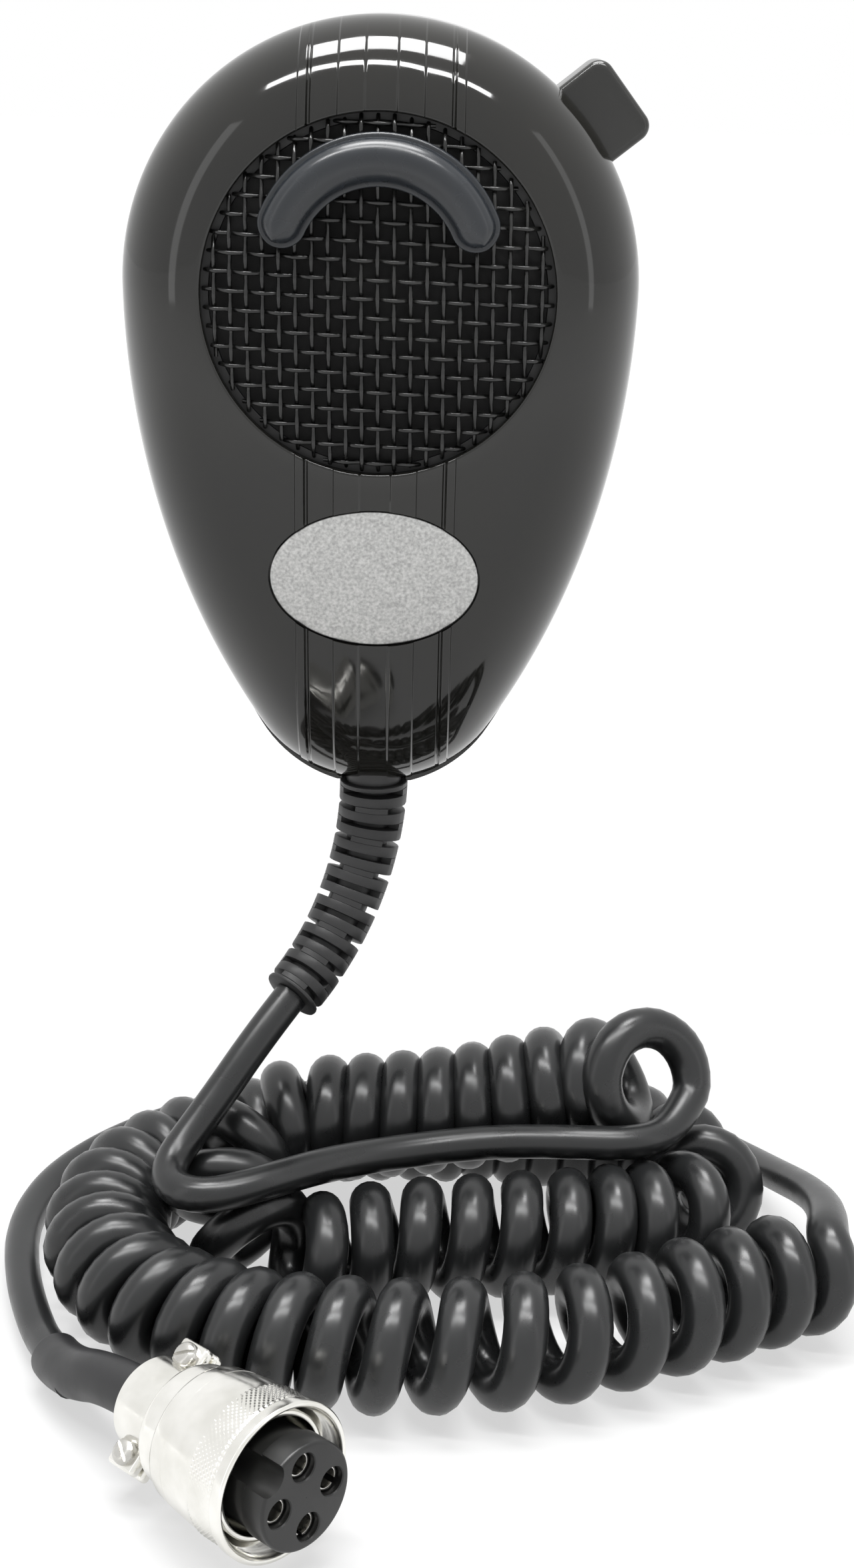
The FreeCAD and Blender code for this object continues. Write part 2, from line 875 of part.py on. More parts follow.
mesh_ring = node(
    feature(
        "mesh_ring",
        turned(
            [
                (size("ring_inner"), ring_back),
                (size("ring_outer"), ring_back),
                (size("ring_outer"), ring_front),
                (size("ring_inner") + 1.0, ring_front),
                (size("ring_inner") + 1.0, ring_lip),
                (size("ring_inner"), ring_lip),
            ]
        ),
    )
)


def make_wind_screen():
    """Cloth-covered pad whose front follows the crown of the mesh."""
    drop = size("weave_height") + size("wire_width") / 2 + size("screen_gap")
    pad = cylinder(screen_radius, on_head_axis(FRONT - 2), on_head_axis(ring_back))
    ball = Part.makeSphere(size("mesh_crown") - drop, mesh_ball)
    return pad.common(ball)


wind_screen = node(feature("wind_screen", make_wind_screen()))

cartridge_front = ring_back + 0.1
cartridge_back = cartridge_front + size("cartridge_depth")


def make_mic_cartridge():
    """Capsule with a ring of sound holes in front and two solder pins behind."""
    radius = size("cartridge_radius")
    body = cylinder(radius, on_head_axis(cartridge_front), on_head_axis(cartridge_back))
    body = body.makeChamfer(radius * 0.05, [e for e in body.Edges if e.Length > 6 * radius])
    holes = []
    pins = []
    hole_count = 6
    for number in range(hole_count):
        turn = 2 * math.pi * number / hole_count
        spot = Vector(math.cos(turn), 0, math.sin(turn)) * (radius * 0.5)
        start = on_head_axis(cartridge_front - 1) + spot
        holes.append(cylinder(radius * 0.08, start, start + REARWARD * 2.5))
    for side in (-1, 1):
        start = on_head_axis(cartridge_back) + Vector(side * radius * 0.25, 0, 0)
        pins.append(cylinder(0.6, start, start + REARWARD * 1.6))
    return body.cut(holes).fuse(pins)


mic_cartridge = node(feature("mic_cartridge", make_mic_cartridge()))
cartridge_gasket = node(
    feature(
        "cartridge_gasket",
        turned(
            [
                (size("cartridge_radius") + size("seat_gap"), gasket_front),
                (size("ring_outer"), gasket_front),
                (size("ring_outer"), gasket_front + size("gasket_depth") * 0.4),
                (size("cartridge_radius") + 3.0, gasket_back),
                (size("cartridge_radius") + size("seat_gap"), gasket_back),
            ]
        ),
    )
)


# ---------------------------------------------------------------- lip bar
def crescent(width_out, front, back):
    """Crescent prism: widest at the top, thinner at its rounded ends."""
    outer = size("bar_radius") + width_out
    thin = size("bar_thinning")
    inner = size("bar_radius") - size("bar_width") - width_out + thin / 2
    shift = thin / 2
    half = math.radians(size("bar_span")) / 2
    centre = Vector(0, 0, size("head_height") + size("bar_rise"))
    inner_centre = centre + Vector(0, 0, -shift)

    def spot(middle, radius, turn):
        return middle + Vector(radius * math.sin(turn), 0, radius * math.cos(turn))

    out_left = spot(centre, outer, -half)
    out_right = spot(centre, outer, half)
    in_left = spot(inner_centre, inner, -half)
    in_right = spot(inner_centre, inner, half)

    def end_cap(first, last, side):
        middle = (first + last) * 0.5
        along = Vector(side * math.cos(half), 0, -math.sin(half))
        return Part.Arc(first, middle + along * ((last - first).Length / 2), last)

    edges = [
        Part.Arc(out_left, spot(centre, outer, 0), out_right),
        end_cap(out_right, in_right, 1),
        Part.Arc(in_right, spot(inner_centre, inner, 0), in_left),
        end_cap(in_left, out_left, -1),
    ]
    face = Part.Face(Part.Wire([edge.toShape() for edge in edges]))
    prism = face.extrude(Vector(0, back - front, 0))
    prism.translate(Vector(0, front, 0))
    return prism


def make_lip_bar():
    """Half-round crescent ridge on a thin foot that follows the mesh."""
    seat_radius = size("mesh_crown") + size("weave_height") + size("wire_width") / 2 + 0.05
    seat = Part.makeSphere(seat_radius, mesh_ball)
    top = FRONT - size("mesh_front") + size("case_front") - size("bar_height")
    ridge = crescent(0, top, FRONT + 4)
    rims = [edge for edge in ridge.Edges if abs(edge.CenterOfMass.y - top) < TINY]
    ridge = ridge.makeFillet(size("bar_height") * 0.72, rims)
    foot_ball = Part.makeSphere(seat_radius + size("bar_foot"), mesh_ball)
    foot = crescent(0.5, top, FRONT + 4).common(foot_ball)
    return ridge.fuse(foot).cut(seat)


lip_bar = node(feature("lip_bar", make_lip_bar()))

# ---------------------------------------------------------------- strain relief
heading = math.radians(size("relief_heading"))
lean = Vector(math.cos(heading), math.sin(heading), 0)
relief_bend = math.radians(size("relief_bend_angle"))
relief_turn_centre = below(base_z) + lean * size("relief_bend_radius")
relief_length = size("relief_bend_radius") * relief_bend


def relief_frame(distance):
    """Point and heading on the strain relief's bent centre line."""
    turn = distance / size("relief_bend_radius")
    out = relief_turn_centre - lean * (size("relief_bend_radius") * math.cos(turn))
    point = out - Vector(0, 0, size("relief_bend_radius") * math.sin(turn))
    return point, lean * math.sin(turn) - Vector(0, 0, math.cos(turn))


def polygon_wire(point, axis, radius, sides):
    """Regular polygon about a point, square to an axis."""
    across = Vector(0, 1, 0).cross(axis).normalize()
    upward = axis.cross(across)
    corners = []
    for number in range(sides):
        turn = 2 * math.pi * (number + 0.5) / sides
        corners.append(point + across * (radius * math.cos(turn)) + upward * (radius * math.sin(turn)))
    return Part.makePolygon(corners + corners[:1])


def make_strain_relief():
    """Bent rubber sleeve: a flange in the case, a neck, a collar, rings and an end flange."""
    count = int(size("relief_rings"))
    root = size("relief_root_radius")
    tip = size("relief_end_radius")
    collar = size("relief_collar")
    end_flange = size("relief_ring_thick") * 0.6
    pitch = (relief_length - collar - end_flange) / count
    pieces = [
        cylinder(size("relief_neck_radius") + 1.0, below(flange_low), below(flange_top)),
        cylinder(size("relief_neck_radius"), below(base_z), below(flange_low)),
    ]
    last, last_axis = relief_frame(relief_length)
    start, axis = relief_frame(0)
    core_line = Part.Arc(start, relief_frame(relief_length / 2)[0], last).toShape()
    start_ring = polygon_wire(start, axis, size("relief_core_radius"), COIL_SIDES)
    pieces.append(Part.Wire(core_line).makePipeShell([start_ring], True, False))
    pieces.append(cylinder(root, start, start + axis * collar))
    for number in range(count):
        distance = collar + pitch * (number + 0.5)
        share = distance / relief_length
        point, axis = relief_frame(distance)
        half = axis * (size("relief_ring_thick") / 2)
        pieces.append(cylinder(root + (tip - root) * share, point - half, point + half))
    pieces.append(cylinder(tip, last - last_axis * end_flange, last))
    return pieces[0].fuse(pieces[1:]).removeSplitter()


strain_relief = node(feature("strain_relief", make_strain_relief()))


# ---------------------------------------------------------------- cord
def rounded_path(points, share=0.45):
    """Straight runs joined by tangent arcs, with the list of arc radii."""
    edges = []
    radii = []
    here = points[0]
    for before, corner, after in zip(points, points[1:], points[2:]):
        back = (before - corner).normalize()
        ahead = (after - corner).normalize()
        shorter = min((before - corner).Length, (after - corner).Length)
        half_turn = (math.pi - back.getAngle(ahead)) / 2
        cut = share * shorter
        radius = cut / math.tan(half_turn)
        radii.append(radius)
        start = corner + back * cut
        stop = corner + ahead * cut
        middle_way = (back + ahead).normalize()
        to_centre = radius / math.cos(half_turn)
        middle = corner + middle_way * (to_centre - radius)
        edges.append(Part.LineSegment(here, start).toShape())
        edges.append(Part.Arc(start, middle, stop).toShape())
        here = stop
    edges.append(Part.LineSegment(here, points[-1]).toShape())
    return Part.Wire(edges), radii


def tube(label, points, diameter, sides):
    """Plain tube of many flats along a route, checked against section times length."""
    path, radii = rounded_path(points)
    flat_radius = diameter / 2
    ring = polygon_wire(points[0], (points[1] - points[0]).normalize(), flat_radius, sides)
    solid = path.makePipeShell([ring], True, False)
    area = sides * flat_radius**2 * math.sin(2 * math.pi / sides) / 2
    share = solid.Volume / (area * path.Length)
    print(
        f"{label}: length {path.Length:.1f}, volume share {share:.4f},",
        "radii",
        [round(radius, 1) for radius in radii],
    )
    return solid


relief_end, relief_axis = relief_frame(relief_length)
LEAD_UPPER = [
    relief_end,
    relief_end + relief_axis * 7.0,
    Vector(-19.3, -43.6, -103.0),
    Vector(-22.9, -47.2, -107.2),
    Vector(-25.0, -49.9, -109.4),
    Vector(-25.2, -52.9, -110.5),
    Vector(-23.9, -55.6, -110.7),
    Vector(-21.3, -57.3, -110.5),
    Vector(-18.2, -57.5, -110.3),
    Vector(-12.4, -54.6, -109.9),
    Vector(-4.4, -48.2, -110.4),
    Vector(6.0, -42.6, -111.2),
    Vector(17.5, -39.8, -111.0),
    Vector(28.0, -40.6, -110.4),
    Vector(37.0, -40.4, -109.8),
    Vector(43.0, -37.6, -108.0),
    Vector(45.0, -33.2, -104.6),
]
COIL_INNER = [
    Vector(39.2, -33.6, -104.4),
    Vector(36.8, -30.0, -105.4),
    Vector(33.0, -27.6, -106.6),
    Vector(28.0, -26.8, -107.9),
    Vector(20.5, -27.6, -109.7),
    Vector(11.0, -28.4, -111.4),
    Vector(-0.5, -29.4, -112.2),
    Vector(-7.0, -30.2, -112.6),
    Vector(-12.7, -32.2, -113.2),
    Vector(-17.2, -36.5, -114.4),
    Vector(-18.9, -42.4, -116.3),
    Vector(-17.5, -48.2, -118.4),
    Vector(-13.5, -52.5, -120.3),
    Vector(-8.0, -54.5, -121.6),
    Vector(0.5, -52.8, -121.9),
    Vector(6.75, -51.85, -121.9),
]
COIL_OUTER = [
    Vector(6.75, -51.85, -121.9),
    Vector(13.0, -50.9, -121.9),
    Vector(26.0, -48.6, -121.9),
    Vector(36.5, -45.8, -121.9),
    Vector(44.0, -42.0, -121.9),
    Vector(47.6, -35.4, -121.9),
    Vector(47.0, -27.6, -121.9),
    Vector(41.6, -20.6, -121.9),
    Vector(33.0, -17.0, -121.9),
    Vector(21.0, -15.4, -121.9),
    Vector(8.0, -15.0, -121.9),
    Vector(-4.0, -15.9, -121.9),
    Vector(-14.0, -19.0, -121.9),
    Vector(-22.5, -23.8, -121.9),
    Vector(-30.0, -31.0, -121.9),
    Vector(-34.4, -40.6, -121.9),
    Vector(-34.2, -51.0, -121.9),
    Vector(-30.0, -60.8, -121.9),
    Vector(-22.4, -68.4, -121.9),
    Vector(-12.0, -72.8, -121.9),
    Vector(0.5, -74.1, -121.9),
    Vector(13.0, -73.6, -121.9),
    Vector(24.0, -71.4, -121.9),
    Vector(34.5, -67.0, -121.9),
    Vector(44.5, -61.4, -121.9),
    Vector(53.0, -57.2, -121.9),
    Vector(60.0, -53.0, -121.9),
]
FLOOR = -130.0
LEAD_LOWER = [
    Vector(61.6, -53.6, -117.0),
    Vector(62.2, -46.0, -117.0),
    Vector(61.4, -37.4, -118.9),
    Vector(58.6, -26.0, -122.6),
    Vector(54.4, -12.6, -126.4),
    Vector(47.0, -1.6, -127.7),
    Vector(35.0, 5.2, -127.7),
    Vector(19.0, 7.4, -127.7),
    Vector(2.0, 6.6, -127.7),
    Vector(-14.0, 3.6, -127.7),
    Vector(-28.0, -2.6, -127.7),
    Vector(-39.6, -12.6, -127.7),
    Vector(-46.8, -24.6, -127.7),
    Vector(-48.6, -37.6, -127.7),
    Vector(-46.0, -50.4, -127.7),
    Vector(-41.4, -62.0, -127.6),
    Vector(-37.6, -70.0, -126.4),
]

# ---------------------------------------------------------------- plug, built along +X
plug_turn = Rotation(Vector(0, 0, 1), size("plug_yaw"))
plug_turn = plug_turn.multiply(Rotation(Vector(0, 1, 0), size("plug_pitch")))
plug_height = FLOOR + size("nut_radius") - size("plug_sink")
PLUG = Placement(Vector(-size("plug_out"), -size("plug_ahead"), plug_height), plug_turn)
plug_axis = plug_turn.multVec(Vector(1, 0, 0))

plug_tip = size("plug_length")
nut_front = plug_tip - size("insert_proud")
nut_back = nut_front - size("nut_length")
shell_front = nut_front - 2.0
shell_radius = size("shell_radius")
shell_seat = shell_front - size("seat_depth")
ring_bore = shell_radius - 0.6
insert_radius = size("insert_radius")
insert_back = nut_back + 0.8
insert_inside = insert_radius - size("insert_step")
boss_back = nut_front + 0.2
nut_bore = size("nut_radius") - size("nut_wall")
collar_front = nut_back + 2.0
clamp_radius = size("clamp_radius")
clamp_bore = size("sleeve_diameter") / 2 + 0.05
clamp_end = size("clamp_length")
ear_reach = clamp_radius + 2.6
ear_thick = size("ear_thick")
split_gap = size("split_gap")


def spun(profile):
    """Solid turned about the plug's X axis from (x, radius) points."""
    return revolved([Vector(x, 0, radius) for x, radius in profile], Vector(), Vector(1, 0, 0))


def along_plug(shape, tilt=0.0):
    """Carry a shape from the plug's own frame to its place beside the coil."""
    roll = Placement(Vector(), Rotation(Vector(1, 0, 0), tilt))
    shape.Placement = PLUG.multiply(roll).multiply(shape.Placement)
    return shape


def clamp_half(side):
    """Half saddle with two ears, on one side of the split plane."""
    length = clamp_end if side < 0 else clamp_end - size("clamp_step") - 0.1
    sleeve = spun(
        [(0, clamp_bore), (length, clamp_bore), (length, clamp_radius), (0, clamp_radius)]
    )
    low = split_gap if side > 0 else -clamp_radius
    corner = Vector(0, -clamp_radius, low)
    room = Part.makeBox(clamp_end, 2 * clamp_radius, clamp_radius - split_gap, corner)
    half = sleeve.common(room)
    ear_low = split_gap if side > 0 else -split_gap - ear_thick
    ear_mid = clamp_end * 0.4
    ear_half = clamp_end * 0.3
    for hand in (-1, 1):
        near = hand * (clamp_bore + 0.9)
        far = hand * (ear_reach - ear_half)
        ear = Part.makeBox(
            2 * ear_half,
            abs(far - near),
            ear_thick,
            Vector(ear_mid - ear_half, min(near, far), ear_low),
        )
        tip = Part.makeCylinder(ear_half, ear_thick, Vector(ear_mid, far, ear_low))
        hole = Part.makeCylinder(0.85, 4 * ear_thick, Vector(ear_mid, far, -2 * ear_thick))
        seat = Part.makeCylinder(
            size("clamp_screw_head") + 0.15,
            clamp_radius,
            Vector(ear_mid, far, side * (split_gap + ear_thick)),
            Vector(0, 0, side),
        )
        half = half.fuse([ear, tip]).cut([hole, seat])
    return half.removeSplitter()


def make_plug_shell():
    """Turned barrel with a shoulder that holds the nut, and half of the cable clamp."""
    barrel = spun(
        [
            (clamp_end - size("clamp_step"), clamp_bore),
            (clamp_end - size("clamp_step"), clamp_radius),
            (clamp_end + 0.4, shell_radius - 0.8),
            (clamp_end + 1.2, shell_radius),
            (collar_front + 0.15, shell_radius),
            (collar_front + 0.15, nut_bore - 0.15),
            (collar_front + 1.15, nut_bore - 0.15),
            (collar_front + 1.15, shell_radius),
            (shell_front, shell_radius),
            (shell_front, ring_bore),
            (shell_seat, ring_bore),
            (shell_seat, insert_inside + 0.12),
            (clamp_end + 1.4, insert_inside + 0.12),
            (clamp_end + 1.4, clamp_bore),
        ]
    )
    saddle = clamp_half(-1)
    saddle.Placement = Placement(Vector(), Rotation(Vector(1, 0, 0), size("clamp_tilt")))
    return barrel.fuse(saddle).removeSplitter()


def make_coupling_nut():
    """Turned coupling nut with a plain front rim, a groove and a wide grip band."""
    outside = size("nut_radius")
    return spun(
        [
            (nut_back, shell_radius + size("nut_gap")),
            (nut_back, outside - 0.6),
            (nut_back + 0.5, outside - 0.1),
            (nut_front - 4.2, outside - 0.1),
            (nut_front - 4.2, outside - 0.6),
            (nut_front - 3.6, outside - 0.6),
            (nut_front - 3.4, outside),
            (nut_front - 0.4, outside),
            (nut_front, outside - 0.4),
            (nut_front, nut_bore + 0.4),
            (nut_front - 0.4, nut_bore),
            (collar_front, nut_bore),
            (collar_front, shell_radius + size("nut_gap")),
        ]
    )


def socket_spots():
    """Centres of the four sockets, square to the keyway."""
    radius = size("socket_circle") / 2
    turns = [math.radians(45 + 90 * number) for number in range(4)]
    return [(radius * math.cos(turn), radius * math.sin(turn)) for turn in turns]


def make_insulator():
    """Black insert with a wide keyway and four sockets."""
    body = spun(
        [
            (insert_back, 0),
            (insert_back, insert_inside),
            (boss_back, insert_inside),
            (boss_back, insert_radius),
            (plug_tip, insert_radius),
            (plug_tip, 0),
        ]
    )
    cuts = [
        Part.makeBox(
            plug_tip - boss_back + 1, 3.4, 1.6, Vector(boss_back, -1.7, insert_radius - 1.3)
        )
    ]
    for y, z in socket_spots():
        cuts.append(
            Part.makeCylinder(
                size("socket_radius"), plug_tip, Vector(0, y, z), Vector(1, 0, 0)
            )
        )
    return body.cut(cuts)


def make_plug_contacts():
    """Four split spring tubes, recessed in their sockets."""
    outside = size("contact_bore") + size("contact_wall")
    front = plug_tip - 1.2
    contacts = []
    for y, z in socket_spots():
        start = Vector(insert_back - 1.5, y, z)
        pin = Part.makeCylinder(outside, front - start.x, start, Vector(1, 0, 0))
        collar = Part.makeCylinder(
            size("socket_radius") - 0.02, 1.5, Vector(insert_back + 1, y, z), Vector(1, 0, 0)
        )
        bore = Part.makeCylinder(size("contact_bore"), plug_tip, Vector(0, y, z), Vector(1, 0, 0))
        slit = Part.makeBox(4.0, 0.35, 4 * outside, Vector(front - 4.0, y - 0.175, z - 2 * outside))
        contacts.append(pin.fuse(collar).cut([bore, slit]))
    return Part.makeCompound(contacts)


def make_clamp_screws():
    """Two small screws through the ears of the cable clamp."""
    screws = []
    ear_half = clamp_end * 0.3
    for hand in (-1, 1):
        spot = Vector(clamp_end * 0.4, hand * (ear_reach - ear_half), 0)
        seat = split_gap + ear_thick
        head = Part.makeCylinder(size("clamp_screw_head"), 1.1, spot + Vector(0, 0, seat))
        shank = Part.makeCylinder(0.8, 2 * seat + 0.5, spot + Vector(0, 0, -seat - 0.5))
        slot = Part.makeBox(4.0, 0.45, 0.6, spot + Vector(-2.0, -0.225, seat + 0.7))
        screws.append(head.fuse(shank).cut(slot))
    return Part.makeCompound(screws)


plug_shell = node(feature("plug_shell", along_plug(make_plug_shell())))
cable_clamp = node(feature("cable_clamp", along_plug(clamp_half(1), size("clamp_tilt"))))
clamp_screws = node(feature("clamp_screws", along_plug(make_clamp_screws(), size("clamp_tilt"))))
coupling_nut = node(feature("coupling_nut", along_plug(make_coupling_nut())))
plug_insulator = node(feature("plug_insulator", along_plug(make_insulator(), size("key_tilt"))))
plug_contacts = node(feature("plug_contacts", along_plug(make_plug_contacts(), size("key_tilt"))))

# ---------------------------------------------------------------- cord solids
plug_back = PLUG.Base + plug_axis * (clamp_end - 0.8)
lead_end = LEAD_LOWER[-1]
lead_heading = (lead_end - LEAD_LOWER[-2]).normalize()
SLEEVE = [
    lead_end,
    lead_end + lead_heading * 5.5,
    PLUG.Base - plug_axis * 4.0,
    plug_back,
]
cord = size("cord_diameter")
coil = size("coil_diameter")
cord_lead_upper = node(
    feature("cord_lead_upper", tube("cord_lead_upper", LEAD_UPPER, cord, CORD_SIDES))
)
cord_coil_inner = node(
    feature("cord_coil_inner", tube("cord_coil_inner", COIL_INNER, coil, COIL_SIDES))
)
cord_coil_outer = node(
    feature("cord_coil_outer", tube("cord_coil_outer", COIL_OUTER, coil, COIL_SIDES))
)
cord_lead_lower = node(
    feature("cord_lead_lower", tube("cord_lead_lower", LEAD_LOWER, cord, CORD_SIDES))
)
cord_sleeve = node(
    feature(
        "cord_sleeve",
        tube("cord_sleeve", SLEEVE, size("sleeve_diameter"), CORD_SIDES),
    )
)

# ---------------------------------------------------------------- checks and export
doc.recompute()
for thing in doc.Objects:
    state = [word for word in thing.State if word in ("Invalid", "Error")]
    if state:
        raise RuntimeError(f"{thing.Label} did not compute: {state}")
for thing in NODES:
    shape = thing.Shape
    if shape.isNull() or not shape.isValid() or shape.Volume <= 0:
        raise RuntimeError(f"{thing.Label} has no sound shape")

os.makedirs("parts", exist_ok=True)
for thing in NODES:
    thing.Shape.exportStep(f"parts/{thing.Label}.step")
    box = thing.Shape.BoundBox
    print(
        f"{thing.Label}: {len(thing.Shape.Solids)} solid, {thing.Shape.Volume:.1f} mm3,",
        f"x {box.XMin:.1f} {box.XMax:.1f} y {box.YMin:.1f} {box.YMax:.1f}",
        f"z {box.ZMin:.1f} {box.ZMax:.1f}",
    )
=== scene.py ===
"""Looks of the hand microphone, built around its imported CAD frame.

Every length below is in metres unless a name says otherwise; MM turns millimetres into metres.
Case forms come from one implicit surface: a four-arc teardrop met by two shallow spheres, with
rounded rims.  The curly cord's turns are worked out along the route of its coil.
"""

import math

import bmesh
import bpy
import numpy as np
from mathutils import Matrix, Vector, noise


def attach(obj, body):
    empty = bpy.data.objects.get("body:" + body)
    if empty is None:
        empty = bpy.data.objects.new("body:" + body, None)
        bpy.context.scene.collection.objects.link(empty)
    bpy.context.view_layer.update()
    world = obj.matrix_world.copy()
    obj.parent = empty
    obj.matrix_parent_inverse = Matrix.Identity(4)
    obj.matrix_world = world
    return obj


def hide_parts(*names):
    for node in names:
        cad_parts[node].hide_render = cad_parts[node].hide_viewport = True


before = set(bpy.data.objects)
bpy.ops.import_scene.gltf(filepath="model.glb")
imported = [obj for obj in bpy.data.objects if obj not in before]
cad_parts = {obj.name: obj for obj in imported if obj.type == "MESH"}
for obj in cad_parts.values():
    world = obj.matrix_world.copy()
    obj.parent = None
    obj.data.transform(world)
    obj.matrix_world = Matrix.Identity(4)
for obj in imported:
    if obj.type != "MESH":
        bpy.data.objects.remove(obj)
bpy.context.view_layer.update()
MM = 0.001


# ---- camera, lights and stage
CAMERA_PLACE = Vector((7.21, -314.65, 34.53)) * MM
CAMERA_PITCH = 19.0
CAMERA_ROLL = 1.41
CAMERA_LENS = 52.1
FLOOR_Z = -130.0 * MM


def make_camera():
    """Camera at the height and tilt of the product shot."""
    data = bpy.data.cameras.new("camera")
    data.lens = CAMERA_LENS
    data.clip_start = 0.01
    data.clip_end = 20
    camera = bpy.data.objects.new("camera", data)
    turn = Matrix.Rotation(math.radians(90 - CAMERA_PITCH), 4, "X")
    roll = Matrix.Rotation(math.radians(CAMERA_ROLL), 4, "Z")
    camera.matrix_world = Matrix.Translation(CAMERA_PLACE) @ turn @ roll
    bpy.context.scene.collection.objects.link(camera)
    bpy.context.scene.camera = camera


def add_area(name, place, target, width, height, watts):
    """Soft box that looks at a target point."""
    data = bpy.data.lights.new(name, "AREA")
    data.shape = "RECTANGLE"
    data.size = width
    data.size_y = height
    data.energy = watts
    lamp = bpy.data.objects.new(name, data)
    lamp.location = place
    look = Vector(target) - Vector(place)
    lamp.rotation_euler = look.to_track_quat("-Z", "Y").to_euler()
    bpy.context.scene.collection.objects.link(lamp)


WHITE = (1, 1, 1, 1)
# light of the room on matt surfaces: place from its front, 0, to its back, 1, and the grey there
ROOM_MARKS = (
    (0.0, 0.08), (0.30, 0.09), (0.45, 0.15), (0.53, 0.30), (0.63, 0.58), (0.80, 0.92), (1.0, 1.0),
)
ROOM_BLUE = 0.99
FLOOR_HALF, FLOOR_GAP = 3.0, 0.0002
# radius and strength of the floor's own glow, near the object and far from it; the dimmer glow near
# the object is painted shade round and under it
PAINTED_SHADE_NEAR, GLOW_FAR = (0.16, 0.62), (0.50, 1.0)
FLOOR_SEEN, FLOOR_LIT = (0.26, 0.26, 0.26, 1), (0.8, 0.8, 0.8, 1)


def link_object(name, data):
    """New object in the scene for a mesh or a curve."""
    thing = bpy.data.objects.new(name, data)
    bpy.context.scene.collection.objects.link(thing)
    return thing


def add_node(tree, kind, **inputs):
    """New shader node with its named inputs set."""
    made = tree.nodes.new(kind)
    for name, value in inputs.items():
        made.inputs[name.replace("_", " ")].default_value = value
    return made


def sees_background(tree):
    """One for the rays that show the background: the eye's, a mirror's and a clear body's."""
    path = tree.nodes.new("ShaderNodeLightPath")
    total = path.outputs["Is Camera Ray"]
    for kind in ("Is Glossy Ray", "Is Transmission Ray"):
        either = tree.nodes.new("ShaderNodeMath")
        either.operation = "MAXIMUM"
        tree.links.new(total, either.inputs[0])
        tree.links.new(path.outputs[kind], either.inputs[1])
        total = either.outputs[0]
    return total


def put_out(tree, kind, lit, seen):
    """Output that shows one shader as the background and lights the room with the other."""
    out = tree.nodes.new(kind)
    mix = tree.nodes.new("ShaderNodeMixShader")
    tree.links.new(sees_background(tree), mix.inputs[0])
    tree.links.new(lit.outputs[0], mix.inputs[1])
    tree.links.new(seen.outputs[0], mix.inputs[2])
    tree.links.new(mix.outputs[0], out.inputs[0])


def make_world():
    """White as background and in reflections; as light, a room dim in front and pale behind."""
    world = bpy.data.worlds.new("room")
    bpy.context.scene.world = world
    world.use_nodes = True
    tree = world.node_tree
    tree.nodes.clear()
    coord = tree.nodes.new("ShaderNodeTexCoord")
    split = tree.nodes.new("ShaderNodeSeparateXYZ")
    tree.links.new(coord.outputs["Generated"], split.inputs[0])
    halved = tree.nodes.new("ShaderNodeMath")
    halved.operation = "MULTIPLY_ADD"
    halved.inputs[1].default_value = 0.5
    halved.inputs[2].default_value = 0.5
    tree.links.new(split.outputs["Y"], halved.inputs[0])
    ramp = tree.nodes.new("ShaderNodeValToRGB")
    greys = ramp.color_ramp.elements
    greys[0].position = ROOM_MARKS[0][0]
    greys[1].position = ROOM_MARKS[-1][0]
    for place, _ in ROOM_MARKS[1:-1]:
        greys.new(place)
    for element, (_, grey) in zip(greys, ROOM_MARKS):
        element.color = (grey, grey, grey * ROOM_BLUE, 1)
    tree.links.new(halved.outputs[0], ramp.inputs[0])
    lit = add_node(tree, "ShaderNodeBackground", Strength=1.0)
    tree.links.new(ramp.outputs["Color"], lit.inputs["Color"])
    seen = add_node(tree, "ShaderNodeBackground", Color=WHITE, Strength=1.0)
    put_out(tree, "ShaderNodeOutputWorld", lit, seen)


def make_floor():
    """White table top that shows as white and still takes the object's soft shadow; its glow is
    painted dimmer near the object, a painted shade.
    """
    mesh = bpy.data.meshes.new("floor")
    corners = [(x * FLOOR_HALF, y * FLOOR_HALF, FLOOR_Z - FLOOR_GAP)
               for x, y in ((-1, -1), (1, -1), (1, 1), (-1, 1))]
    mesh.from_pydata(corners, [], [(0, 1, 2, 3)])
    floor = link_object("floor", mesh)
    material = bpy.data.materials.new("floor_white")
    material.use_nodes = True
    tree = material.node_tree
    tree.nodes.clear()
    coord = tree.nodes.new("ShaderNodeTexCoord")
    reach = tree.nodes.new("ShaderNodeVectorMath")
    reach.operation = "LENGTH"
    tree.links.new(coord.outputs["Object"], reach.inputs[0])
    # painted shade: the floor's glow is dimmer near the object and full far from it
    fade = add_node(tree, "ShaderNodeMapRange", From_Min=PAINTED_SHADE_NEAR[0], From_Max=GLOW_FAR[0],
                    To_Min=PAINTED_SHADE_NEAR[1], To_Max=GLOW_FAR[1])
    fade.interpolation_type = "SMOOTHSTEP"
    tree.links.new(reach.outputs["Value"], fade.inputs["Value"])
    glow = add_node(tree, "ShaderNodeEmission", Color=WHITE)
    tree.links.new(fade.outputs[0], glow.inputs["Strength"])
    seen = tree.nodes.new("ShaderNodeAddShader")
    tree.links.new(glow.outputs[0], seen.inputs[0])
    faint = add_node(tree, "ShaderNodeBsdfDiffuse", Color=FLOOR_SEEN)
    tree.links.new(faint.outputs[0], seen.inputs[1])
    paper = add_node(tree, "ShaderNodeBsdfDiffuse", Color=FLOOR_LIT)
    put_out(tree, "ShaderNodeOutputMaterial", paper, seen)
    mesh.materials.append(material)


make_camera()
make_world()
make_floor()
MIC_MIDDLE = (0.0, -0.03, -0.03)
add_area("key_box", (-0.03, -0.25, 0.70), MIC_MIDDLE, 0.90, 0.065, 6.0)
add_area("top_box", (0.0, 0.05, 0.62), MIC_MIDDLE, 0.46, 0.19, 5.0)
add_area("left_strip", (-0.72, -0.46, 0.16), MIC_MIDDLE, 0.13, 0.9, 0.42)
add_area("right_strip", (0.78, -0.40, 0.20), MIC_MIDDLE, 0.10, 0.9, 0.30)
bpy.context.scene.view_settings.view_transform = "Standard"


